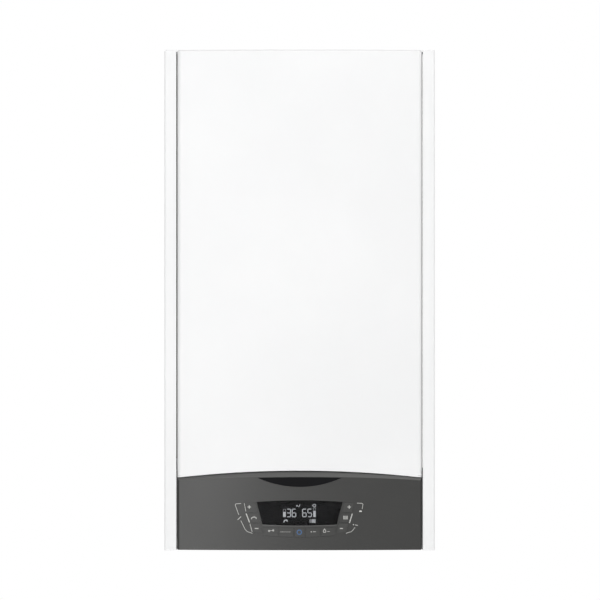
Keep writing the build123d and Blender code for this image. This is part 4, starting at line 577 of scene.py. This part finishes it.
# ------------ threaded tails
# Turned brass tails come out under the boiler, three larger ones for heating and gas and two
# smaller ones for water. Each has a cut thread, and above it a hexagon for the spanner.
heating_tails, water_tails, tail_y = (-130, 0, 130), (-65, 65), -95
thread_sizes = {x: (13.22, 10.0) for x in heating_tails} | {x: (10.48, 7.5) for x in water_tails}
corner_share, chamfer = 1 / math.cos(math.pi / 6), 0.93
tails = bmesh.new()
for x, (thread, bore) in thread_sizes.items():
    core, neck = thread - 1.0, bore + 1.5
    turned(tails, [(bore, 3.8), (bore + 0.7, 3), (core - 0.9, 3), (core, 4), (core, 21), (core, 22),
                   (neck, 22), (neck, 33.2), (bore, 33.2)], (x, tail_y, 0), upwards, count=40)
    corner, inner = (thread + 2.5) * corner_share, bore * corner_share + 0.1
    flat = chamfer * corner
    turned(tails, [(inner, 21), (flat, 21), (corner, 22.1), (corner, 27.9), (flat, 29), (inner, 29)],
           (x, tail_y, 0), upwards, count=6)
tails = piece(tails, "threaded_tails", brass, "casing")
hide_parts("pipe_tails")

tree, start, end = recipe("thread ridges", "Radius", "Length", "Pitch", "Ridge")
helix = add(tree, "GeometryNodeCurveSpiral", Resolution=32, Height=(start, "Length"),
            Rotations=worked(tree, "DIVIDE", (start, "Length"), (start, "Pitch")),
            Start_Radius=(start, "Radius"), End_Radius=(start, "Radius"))
ridge = swept(tree, (helix, "Curve"), (start, "Ridge"), 4, Fill_Caps=True)
thread_ridges = repeated(tree, start, ridge, end)
thread_foot, thread_sink = 4.2, 0.8
for name, xs in (("heating_threads", heating_tails), ("water_threads", water_tails)):
    spots = dotted(name, [(x, tail_y, thread_foot) for x in xs])
    radius = thread_sizes[xs[0]][0] - thread_sink
    grown(thread_ridges, name, spots, "casing", "brass", Radius=radius / 1000, Length=0.0158,
          Pitch=0.001814, Ridge=0.00078, Finish=brass)

# ------------ union nuts
# Hexagonal brass nuts with a round collar join the pipes to the groups and to the heat exchanger.
# Each is turned from bar and draws a flanged pipe end onto a flat seal.
leftwards = (-1, 0, 0)
nuts = bmesh.new()
for base, way in (((-76, -95, 163.5), upwards), ((130, -88, 183.5), upwards),
                  ((-130, -215, shell_height), leftwards), ((130, -118, shell_height), rightwards)):
    turned(nuts, [(9.2, -1), (14.2, -1), (15.2, 0.2), (15.2, 10.8), (14.2, 12), (9.2, 12)], base, way,
           count=6)
    turned(nuts, [(9.1, 11), (12.4, 11), (12.0, 13), (9.1, 13)], base, way)
piece(nuts, "union_nuts", brass, "casing")

# ------------ plastic mouldings
# Knobs, glands, the fan's wheel and the display module are black glass-filled mouldings.
# Flue, condensate trap and the pump's wheel are moulded in light grey polypropylene.
black_moulding = finish("black moulding", (0.018, 0.018, 0.019), (0.030, 0.030, 0.031), (0.42, 0.58),
                        size=16.0, grain=1600.0, grain_relief=0.00003)
coat(black_moulding, "relief_knob", "filling_knob", "cable_glands", "diverter_actuator", "fan_impeller",
     "lcd_module")
grey_moulding = finish("grey polypropylene", (0.40, 0.41, 0.42), (0.47, 0.48, 0.49), (0.36, 0.5), size=14.0,
                       grain=1300.0, grain_relief=0.00003)
coat(grey_moulding, "flue_duct", "flue_collar", "condensate_hose", "condensate_trap", "pump_impeller")

# ------------ condensate hose
# A corrugated hose of light grey polypropylene leads from the heat exchanger down to the trap.
# It is blow-moulded and bends freely, and a rubber cuff seals each of its ends.
tree, start, end = recipe("corrugated hose", "Radius", "Bend", "Pitch", "Step")
route = add(tree, "GeometryNodeMeshToCurve", Mesh=(start, "Points"))
bent = add(tree, "GeometryNodeFilletCurve", settings={"mode": "POLY"}, Curve=(route, 0),
           Radius=(start, "Bend"), Count=16, Limit_Radius=True)
even = add(tree, "GeometryNodeResampleCurve", settings={"mode": "LENGTH"}, Curve=(bent, 0),
           Length=(start, "Step"))
run = add(tree, "GeometryNodeSplineParameter")
waves = worked(tree, "DIVIDE", (run, "Length"), (start, "Pitch"))
swing = worked(tree, "SINE", worked(tree, "MULTIPLY", waves, math.tau))
swell = add(tree, "ShaderNodeMapRange", Value=swing, From_Min=-1.0, From_Max=0.6, To_Min=0.80,
            To_Max=1.0)
skin = swept(tree, (even, 0), (start, "Radius"), 18, Fill_Caps=True, Scale=(swell, 0))
corrugated_hose = delivered(tree, start, skin, end)
hose_places = [(0, -215, 380), (0, -215, 335), (-60, -200, 290), (-165, -150, 255), (-165, -150, 200)]
hose_links = [(n - 1, n) for n in range(1, len(hose_places))]
hose_line = bpy.data.meshes.new("condensate_line")
hose_line.from_pydata([at(*place) for place in hose_places], hose_links, [])
hose = grown(corrugated_hose, "corrugated_condensate_hose", hose_line, "casing", "grey_moulding",
             Radius=0.008, Bend=0.040, Pitch=0.0042, Step=0.0007, Finish=grey_moulding)
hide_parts("condensate_hose")
cuffs = bmesh.new()
for base, way in (((0, -215, 380.5), (0, 0, -1)), ((-165, -150, 199.5), upwards)):
    turned(cuffs, [(7.8, 0), (9.4, 0), (9.4, 11), (8.8, 12), (7.8, 12)], base, way)
piece(cuffs, "hose_cuffs", rubber, "casing")

# ------------ flue seals
# Black rubber seals with two lips each lie in the flue collar, one round each of the two ducts.
# Six screws hold the collar down on the top plate.
flue_y = -160
lips = bmesh.new()
turned(lips, [(50.4, 732), (48.9, 733.4), (50.4, 734.0), (50.4, 735.0), (48.9, 736.4), (50.4, 737.0),
              (51.4, 737.0), (51.4, 732)], (0, flue_y, 0), upwards, count=64)
turned(lips, [(30.4, 692), (29.2, 693.4), (30.4, 694.4), (29.2, 696), (30.4, 697.2), (31.2, 697.2),
              (31.2, 692)], (0, flue_y, 0), upwards, count=48)
piece(lips, "flue_lip_seals", rubber, "casing")
fastened("flue_collar_screws", round_places((0, flue_y, 731), 61.5, 6, upwards, first=30), 2.8)

# ------------ control box
# A box and lid moulded in dark grey, closed from behind by eight screws, with rubber grommets in
# the cable holes. Its main board is green laminate with soldered parts, its key board black.
box_moulding = finish("dark box moulding", (0.055, 0.056, 0.060), (0.075, 0.076, 0.080), (0.44, 0.6),
                      size=12.0, grain=1500.0, grain_relief=0.00004)
coat(box_moulding, "control_box", "control_box_lid")
laminate = finish("black circuit board", (0.006, 0.008, 0.008), (0.011, 0.013, 0.013), (0.28, 0.4),
                  size=220.0, grain=600.0, grain_relief=0.00004)
coat(laminate, "key_board")
lid_y = -190
lid_heads = [((x, lid_y, height), behind) for x in (-170, -57, 57, 170) for height in (19.5, 78.5)]
fastened("lid_screws", lid_heads, 2.4, "control_panel")
grommets = bmesh.new()
for x in (90, 120, 150):
    turned(grommets, [(5, -3.6), (9.6, -3.6), (9.6, -2.1), (7.8, -2.1), (7.8, 0.1), (10.2, 0.1), (9.4, 1.9),
                      (5.6, 1.9), (5, 1.2)], (x, lid_y, 30), behind)
piece(grommets, "cable_grommets", rubber, "control_panel")


def overlaid(tree, mask, colour):
    """Puts a colour over a material's base colour where a mask is 1."""
    shader = tree.nodes["Principled BSDF"]
    before = shader.inputs["Base Color"].links[0].from_node
    fed(tree, shader, Base_Color=blend(tree, mask, (before, "Result"), (*colour, 1)))


def zoned(material, zones):
    """Gives boxes of a material, as low and high corners in mm, a colour of their own."""
    tree = material.node_tree
    place = add(tree, "ShaderNodeTexCoord")
    for low, high, colour in zones:
        low, high = at(*low), at(*high)
        reach = worked(tree, "SUBTRACT", (place, "Object"), (low + high) / 2, kind="ShaderNodeVectorMath")
        reach = worked(tree, "DIVIDE", reach, (high - low) / 2, kind="ShaderNodeVectorMath")
        away = worked(tree, "ABSOLUTE", reach, kind="ShaderNodeVectorMath")
        parts = add(tree, "ShaderNodeSeparateXYZ", away)
        level = worked(tree, "MAXIMUM", (parts, "X"), (parts, "Y"))
        furthest = worked(tree, "MAXIMUM", level, (parts, "Z"))
        overlaid(tree, worked(tree, "LESS_THAN", furthest, 1.0), colour)


populated = finish("populated board", (0.012, 0.080, 0.030), (0.022, 0.130, 0.052), (0.28, 0.4), size=220.0,
                   grain=600.0, grain_relief=0.00004)
# All parts, the transformer's winding and its core, the capacitors and their ends, and the plug sockets.
zoned(populated, [
    ((-170, -288.2, 20), (170, -250, 80), (0.018, 0.018, 0.019)),
    ((-143, -288.2, 34), (-101, -250, 72), (0.36, 0.25, 0.05)),
    ((-143, -278, 46), (-101, -262, 60), (0.05, 0.05, 0.055)),
    ((-12, -288.2, 40), (38, -250, 62), (0.012, 0.020, 0.060)),
    ((-12, -267.2, 40), (38, -250, 62), (0.50, 0.51, 0.52)),
    ((-118, -288.2, 23), (98, -250, 37), (0.62, 0.60, 0.54)),
])
coat(populated, "main_board")

# ------------ facia
# The control panel's front, moulded in mid grey with a fine spark-eroded skin.
# Its sloping top edge is painted lighter, a painted highlight for the light that it catches from above.
facia_skin = finish("facia grey", (0.021, 0.021, 0.0195), (0.024, 0.024, 0.0225), (0.40, 0.44), size=8.0,
                    grain=2200.0, grain_relief=0.00002)
slope_start, slope_full = 0.24, 0.34
tree = facia_skin.node_tree
place = add(tree, "ShaderNodeTexCoord")
upward = add(tree, "ShaderNodeSeparateXYZ", (place, "Normal"))
bevel = add(tree, "ShaderNodeMapRange", Value=(upward, "Z"), From_Min=slope_start, From_Max=slope_full)
# Faces that slope upwards get a lighter grey: a painted highlight.
overlaid(tree, (bevel, 0), (0.068, 0.068, 0.066))
coat(facia_skin, "facia")

# ------------ printed lines
# Light lines are pad-printed on the facia round the side keys, in several widths.
# They are films of ink with hardly any thickness, and bend with the bowed front.
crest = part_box("front_cover")[0].y
bow, bow_half = 0.014, 0.181
bow_radius = (bow_half**2 + bow**2) / (2 * bow)
longest_step, tightest_mitre = 2.5, 0.5


def front_y(x):
    """The depth of the bowed front at x."""
    return crest + bow_radius - math.sqrt(bow_radius**2 - x**2)


def ribbon(points, width, closed):
    """Pairs of edge points, in mm, along a stroke whose corners are mitred."""
    if closed:
        points = points + points[:1]
    fine = []
    for a, b in zip(points, points[1:]):
        count = max(1, math.ceil(math.dist(a, b) / longest_step))
        fine += [tuple(p + (q - p) * n / count for p, q in zip(a, b)) for n in range(count)]
    fine += [] if closed else [points[-1]]
    pairs = []
    for n, p in enumerate(fine):
        before = fine[n - 1] if n or closed else None
        after = fine[(n + 1) % len(fine)] if n + 1 < len(fine) or closed else None
        ways = [(Vector(b) - Vector(a)).normalized() for a, b in ((before, p), (p, after)) if a and b]
        across = [Vector((-way.y, way.x)) for way in ways]
        normal = sum(across, Vector((0, 0))).normalized()
        reach = width / 2 / max(tightest_mitre, normal.dot(across[0]))
        pairs.append((Vector(p) + normal * reach, Vector(p) - normal * reach))
    return pairs


def printed(name, strokes, lead, ink, body, thick=0.00002, surface=front_y, fills=(), frames=()):
    """A piece of print in ink that lies ahead of a surface, by a lead in metres, and rides on a body.

    Strokes are points in mm with a width, and True where they close; fills are outlines, and frames
    are closed rows of pairs of points."""
    form = bmesh.new()

    def layers(points):
        """The corners over some points in mm, on the print's face and on its back."""
        return [[form.verts.new((x / 1000, surface(x / 1000) - lead - rise, foot + height / 1000))
                 for x, height in points] for rise in (thick, 0)]

    bands = [(ribbon(points, width, closed), closed) for points, width, *closed in strokes]
    for pairs, closed in bands + [(pairs, True) for pairs in frames]:
        steps = [layers(pair) for pair in pairs]
        for a, b in zip(steps, steps[1:] + (steps[:1] if closed else [])):
            (front_a, rear_a), (front_b, rear_b) = a, b
            form.faces.new((front_a[0], front_b[0], front_b[1], front_a[1]))
            form.faces.new((rear_a[1], rear_b[1], rear_b[0], rear_a[0]))
            form.faces.new((front_a[0], rear_a[0], rear_b[0], front_b[0]))
            form.faces.new((front_b[1], rear_b[1], rear_a[1], front_a[1]))
        for front, rear in () if closed else (steps[0], steps[-1]):
            form.faces.new((front[0], front[1], rear[1], rear[0]))
    for outline in fills:
        front, rear = layers(outline)
        form.faces.new(front)
        form.faces.new(rear[::-1])
        for n in range(len(outline)):
            m = (n + 1) % len(outline)
            form.faces.new((front[m], front[n], rear[n], rear[m]))
    piece(form, name, ink, body)


def ring(x, height, radius, count=24):
    """Points in mm on a circle."""
    turns = [math.tau * n / count for n in range(count)]
    return [(x + radius * math.cos(turn), height + radius * math.sin(turn)) for turn in turns]


print_ink = finish("light print", (0.43, 0.43, 0.41), (0.52, 0.52, 0.50), (0.4, 0.5), size=300.0,
                   grain_relief=0.000005)
line_width = 0.75
printed("panel_lines", [
    ([(-86.5, 69.5), (-94.1, 69.0), (-95.1, 67.2), (-89.9, 52.9)], line_width),
    ([(-91.5, 45.4), (-86.5, 50.3)], 1.1),
    ([(-86.8, 44.2), (-80.4, 31.1), (-77.1, 28.0), (-69.6, 25.4)], line_width),
    ([(-81.8, 69.8), (-79.3, 57.8)], line_width),
    ([(-79.0, 54.7), (-73.9, 41.6)], 1.5),
    ([(-73.4, 39.6), (-70.8, 30.4), (-70.1, 27.9)], 0.9),
    ([(84.7, 70.0), (91.8, 69.8), (93.7, 68.5), (92.5, 61.4)], line_width),
    ([(77.9, 54.6), (73.6, 40.7)], 1.6),
    ([(81.9, 38.0), (85.8, 37.2)], 1.0),
    ([(81.5, 34.0), (78.7, 30.0), (76.3, 27.7), (72.4, 26.9), (68.5, 25.2)], line_width),
], 0.0, print_ink, "control_panel", fills=[
    [(87.8, 57.1), (91.2, 56.8), (92.3, 58.2), (90.8, 59.3), (88.4, 59.0)],
    ring(79.5, 38.3, 0.9, count=12),
])

# ------------ badge
# A plain lens of polished black plastic, moulded apart from the facia.
# It is let into a recess in the facia, close under the bevel.
polished = finish("polished black", (0.005, 0.005, 0.006), (0.007, 0.007, 0.008), (0.06, 0.12), size=25.0,
                  Specular_IOR_Level=0.09)
coat(polished, "badge_insert")

# ------------ display window
# A window of smoked clear plastic, let into the facia. A pale line along its foot is a painted highlight on
# its edge.
# A black mask is printed on its inside, round the face of the display module.
smoke = (0.40, 0.40, 0.41)
smoked = finish("smoked window", smoke, smoke, (0.0, 0.035), size=30.0, Transmission_Weight=1.0, IOR=1.15)
coat(smoked, "display_window")
# A pale stroke under the window's foot: a painted highlight where its edge catches the light.
edge_highlight_paint = finish("painted edge highlight", (0.10, 0.10, 0.098), (0.13, 0.13, 0.127), (0.3, 0.4), size=120.0,
                    grain_relief=0.000005)
window_half, window_foot, window_sag = 55.0, 38.6, 1.6
edge_width, edge_drop, edge_steps = 0.55, 0.75, 12
edge_line = []
for n in range(-edge_steps, edge_steps + 1):
    share = n / edge_steps
    edge_line.append((window_half * share, window_foot - window_sag * (1 - share**2) - edge_drop))
printed("window_edge_highlight", [(edge_line, edge_width)], 0.0, edge_highlight_paint, "control_panel")

mask_ink = finish("black mask", (0.006, 0.006, 0.007), (0.008, 0.008, 0.009), (0.35, 0.45), size=300.0,
                  grain_relief=0.000005)
mask_top, mask_foot, mask_crown = (64.4, 72.8), (55.9, 37.7), 2.4
face_half, face_top, face_foot = 50.0, 69.6, 41.0
mask_lead, mask_steps = -0.00357, 16
mask_pairs = []
for (half, height), swell, face_height, way in ((mask_top, mask_crown, face_top, 1),
                                                (mask_foot, -window_sag, face_foot, -1)):
    for n in range(-mask_steps, mask_steps + 1):
        share = way * n / mask_steps
        mask_pairs.append(((share * face_half, face_height),
                           (share * half, height + swell * (1 - share**2))))
printed("window_mask", [], mask_lead, mask_ink, "control_panel", frames=[mask_pairs])

# ------------ display segments
# The digits, level bars and symbols of a dark display module, which glow pale grey through the
# window. They lie as thin films on the module's flat face.
lcd_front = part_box("lcd_module")[0].y
digit_height, digit_width, digit_stroke, digit_foot = 12.5, 6.5, 1.2, 49.3
segments = {"3": "abcdg", "5": "acdfg", "6": "acdefg"}


def digit(character, x, height):
    """Strokes of a seven-segment digit whose lower left corner is given."""
    w, h, gap = digit_width - digit_stroke, digit_height - digit_stroke, 0.35
    x, height = x + digit_stroke / 2, height + digit_stroke / 2
    ends = {
        "a": ((0, h), (w, h)), "b": ((w, h), (w, h / 2)), "c": ((w, h / 2), (w, 0)), "d": ((0, 0), (w, 0)),
        "e": ((0, 0), (0, h / 2)), "f": ((0, h / 2), (0, h)), "g": ((0, h / 2), (w, h / 2)),
    }
    strokes = []
    for letter in segments[character]:
        (x0, h0), (x1, h1) = ends[letter]
        long = math.dist((x0, h0), (x1, h1))
        dx, dh = (x1 - x0) / long * gap, (h1 - h0) / long * gap
        line = [(x + x0 + dx, height + h0 + dh), (x + x1 - dx, height + h1 - dh)]
        strokes.append((line, digit_stroke))
    return strokes


lit = []
for character, x in (("3", -19.2), ("6", -11.6), ("6", 3.8), ("5", 11.6)):
    lit += digit(character, x, digit_foot)
lit += [
    ([(-24.1, 58.0), (-24.1, 61.0), (-20.7, 61.0), (-20.7, 58.0)], 0.3),
    ([(20.5, 59.4), (20.5, 63.0), (23.5, 63.0), (23.5, 59.4)], 0.3),
    (ring(21.8, 66.4, 2.0), 0.8, True),
    ([(-1.4, 64.2), (0.6, 68.0)], 1.0),
    ([(-23.4, 41.6), (-22.2, 44.6), (-19.2, 45.2), (-17.8, 42.6)], 1.5),
]
lit += [([(x, 40.8), (x, 46.2)], width)
        for x, width in ((15.4, 0.7), (17.0, 0.7), (18.9, 1.3), (20.8, 1.5), (22.7, 1.5))]
glow = finish("lit segment", (0.60, 0.62, 0.62), (0.72, 0.74, 0.74), (0.4, 0.5), size=200.0,
              Emission_Strength=0.95, Emission_Color=(0.90, 0.93, 0.95, 1))
printed("display_segments", lit, 0.00002, glow, "control_panel", thick=0.0001,
        surface=lambda x: lcd_front, fills=[
            [(-24.4, 49.6), (-20.4, 49.6), (-20.4, 57.2), (-24.4, 57.2)],
            [(20.2, 49.6), (23.8, 49.6), (23.8, 58.6), (20.2, 58.6)],
            ring(-3.9, 66.1, 1.2, count=12), ring(18.9, 66.4, 0.5, count=8),
        ])

# ------------ keys
# Eleven moulded caps in the facia's grey, each with its own light pictogram, on rubber springs.
# The plus and minus keys for heating are a little paler, and the lower row's middle key has a
# blue ring.
key_skin = finish("key grey", (0.026, 0.026, 0.0245), (0.030, 0.030, 0.0285), (0.42, 0.46), size=10.0,
                  grain=2200.0, grain_relief=0.00002)
coat(key_skin, *[name for name in frame["bodies"] if name.startswith("key_")])
pale_key_skin = finish("pale key grey", (0.033, 0.033, 0.031), (0.037, 0.037, 0.035), (0.42, 0.46),
                       size=10.0, grain=2200.0, grain_relief=0.00002)
coat(pale_key_skin, "key_heating_plus", "key_heating_minus")
key_lead = 0.00049


def bar(half, thick):
    """A level stroke about a key's middle."""
    return [([(-half, 0), (half, 0)], thick)]


plus = bar(2.5, 1.15) + [([(0, side * 0.6), (0, side * 2.5)], 1.15) for side in sides]
tap_mark = [([(-3.4, -1.9), (-3.0, 0.3), (-1.4, 1.1), (2.0, 1.1), (3.2, 0.4), (3.5, -1.5)], 1.2),
            ([(0.4, 1.8), (0.4, 2.6)], 1.0)]
heat_mark = [([(x, -2.7), (x, 2.7)], 1.05) for x in (-2.6, -0.87, 0.87, 2.6)]
reset_mark = [(ring(-3.0, -0.4, 1.0, count=12), 1.0, True), ([(-1.3, 0), (1.3, 0.1)], 0.5),
              (ring(2.9, 0.3, 0.9, count=12), 1.0, True)]
menu_mark = [([(x, 0), (x + 1.9, 0)], 0.55) for x in (-7.9, -5.3, -2.7, -0.1, 2.5, 5.1)]
ring_mark = [(ring(0, 0, 3.2), 1.4, True)]
back_mark = [(ring(-3.5, 0, 0.5, count=10), 0.8, True), ([(-1.1, 0), (3.5, 0)], 0.7)]
flame = [(-4.1, -2.3), (-4.7, -0.4), (-3.6, 1.2), (-2.9, 2.6), (-1.3, 0.9), (-0.7, -1.0), (-1.5, -2.3)]
flame_mark = [(flame, 0.9, True), ([(1.4, -1.2), (4.9, -1.2)], 0.7)]
marks = {
    "key_water_plus": (plus, (-74.4, 64.4)), "key_water_mode": (tap_mark, (-67.6, 48.3)),
    "key_water_minus": (bar(2.7, 1.3), (-63.5, 32.7)), "key_heating_plus": (plus, (73.4, 64.3)),
    "key_heating_mode": (heat_mark, (67.8, 48.8)), "key_heating_minus": (bar(2.3, 1.3), (61.7, 32.7)),
    "key_reset": (reset_mark, (-42.0, 29.6)), "key_menu": (menu_mark, (-20.6, 27.7)),
    "key_auto": (ring_mark, (-0.4, 27.2)), "key_back": (back_mark, (20.6, 27.9)),
    "key_test": (flame_mark, (39.6, 29.4)),
}
blue_ink = finish("blue print", (0.032, 0.095, 0.225), (0.040, 0.115, 0.265), (0.35, 0.45), size=300.0,
                  grain_relief=0.000005)
for name, (strokes, (x, height)) in marks.items():
    moved = [([(px + x, ph + height) for px, ph in points], *rest) for points, *rest in strokes]
    printed(f"{name}_mark", moved, key_lead, blue_ink if name == "key_auto" else print_ink, name)

# ------------ front cover and lining
# One bowed steel sheet with folded edges and the same white powder coat, hooked over the top plate.
# A felt mat faced with foil is glued inside it, quilted by two crossing sets of stitches.
coat(enamel, "front_cover")
foil = finish("foil facing", (0.58, 0.59, 0.60), (0.74, 0.75, 0.76), (0.22, 0.36), 1.0, spangled, 420.0,
              relief=0.00003, grain=900.0, grain_relief=0.00004)
lining_half, lining_foot, lining_top, rim_width = 163, 134, 722, 12
sheet_and_glue, felt, rim_felt, tuft, tuft_pitch = 1.35, 2.6, 0.35, 1.4, 45
across_count, up_count = 64, 118
columns = [-lining_half + 2 * lining_half * n / across_count for n in range(across_count + 1)]
rows = [lining_foot + (lining_top - lining_foot) * n / up_count for n in range(up_count + 1)]
lining = bmesh.new()


def lining_point(x, height, inner):
    """A corner of the lining's mat, which swells between its rows of stitches."""
    y = front_y(x / 1000) * 1000 + sheet_and_glue
    if inner:
        to_edge = min(lining_half - abs(x), height - lining_foot, lining_top - height)
        edge = min(1, to_edge / rim_width)
        swell = abs(math.sin(math.pi * x / tuft_pitch) * math.sin(math.pi * height / tuft_pitch)) ** 0.5
        y += felt * (rim_felt + (1 - rim_felt) * edge) + tuft * swell * edge
    return lining.verts.new(at(x, y, height))


faces = [[[lining_point(x, height, inner) for x in columns] for height in rows] for inner in (False, True)]
for layer in faces:
    for low, high in zip(layer, layer[1:]):
        for n in range(across_count):
            lining.faces.new((low[n], low[n + 1], high[n + 1], high[n]))
outer, inner = [layer[0] + [row[-1] for row in layer[1:]] + layer[-1][-2::-1]
                + [row[0] for row in layer[-2:0:-1]] for layer in faces]
for n in range(len(outer)):
    m = (n + 1) % len(outer)
    lining.faces.new((outer[n], outer[m], inner[m], inner[n]))
piece(lining, "cover_lining", foil, "front_cover")

# ------------ seal strips
# Strips stuck to the side panels fill the slits beside the cover and the facia: pale foam on the right of
# the cover, painted light for the light that falls into that slit, black rubber on its left, painted shade
# for the shade in that slit, and grey foam pads at both ends of the facia.
foam = finish("pale foam", (0.70, 0.70, 0.69), (0.80, 0.80, 0.79), (0.8, 0.95), size=300.0, grain=2500.0,
              grain_relief=0.0002)
grey_foam = finish("grey foam", (0.18, 0.18, 0.18), (0.24, 0.24, 0.24), (0.8, 0.95), size=300.0,
                   grain=2500.0, grain_relief=0.0002)
strip_rounding = 0.3
for name, material, slot, blocks in (
    ("cover_seal_strip", foam, "grey_moulding", [((181.2, -302.6, 122), (182.55, -297, 734))]),
    ("cover_stop_strip", rubber, "black_plastic", [((-182.55, -299.0, 136), (-181.2, -293.5, 734))]),
    ("panel_stop_pads", grey_foam, "grey_moulding", [((-182.55, -302.8, 1), (-181.15, -297, 117)),
                                                     ((181.15, -302.8, 1), (182.55, -297, 117))]),
):
    strips = bmesh.new()
    for low, high in blocks:
        pressed(strips, low, high, strip_rounding)
    piece(strips, name, material, "casing")
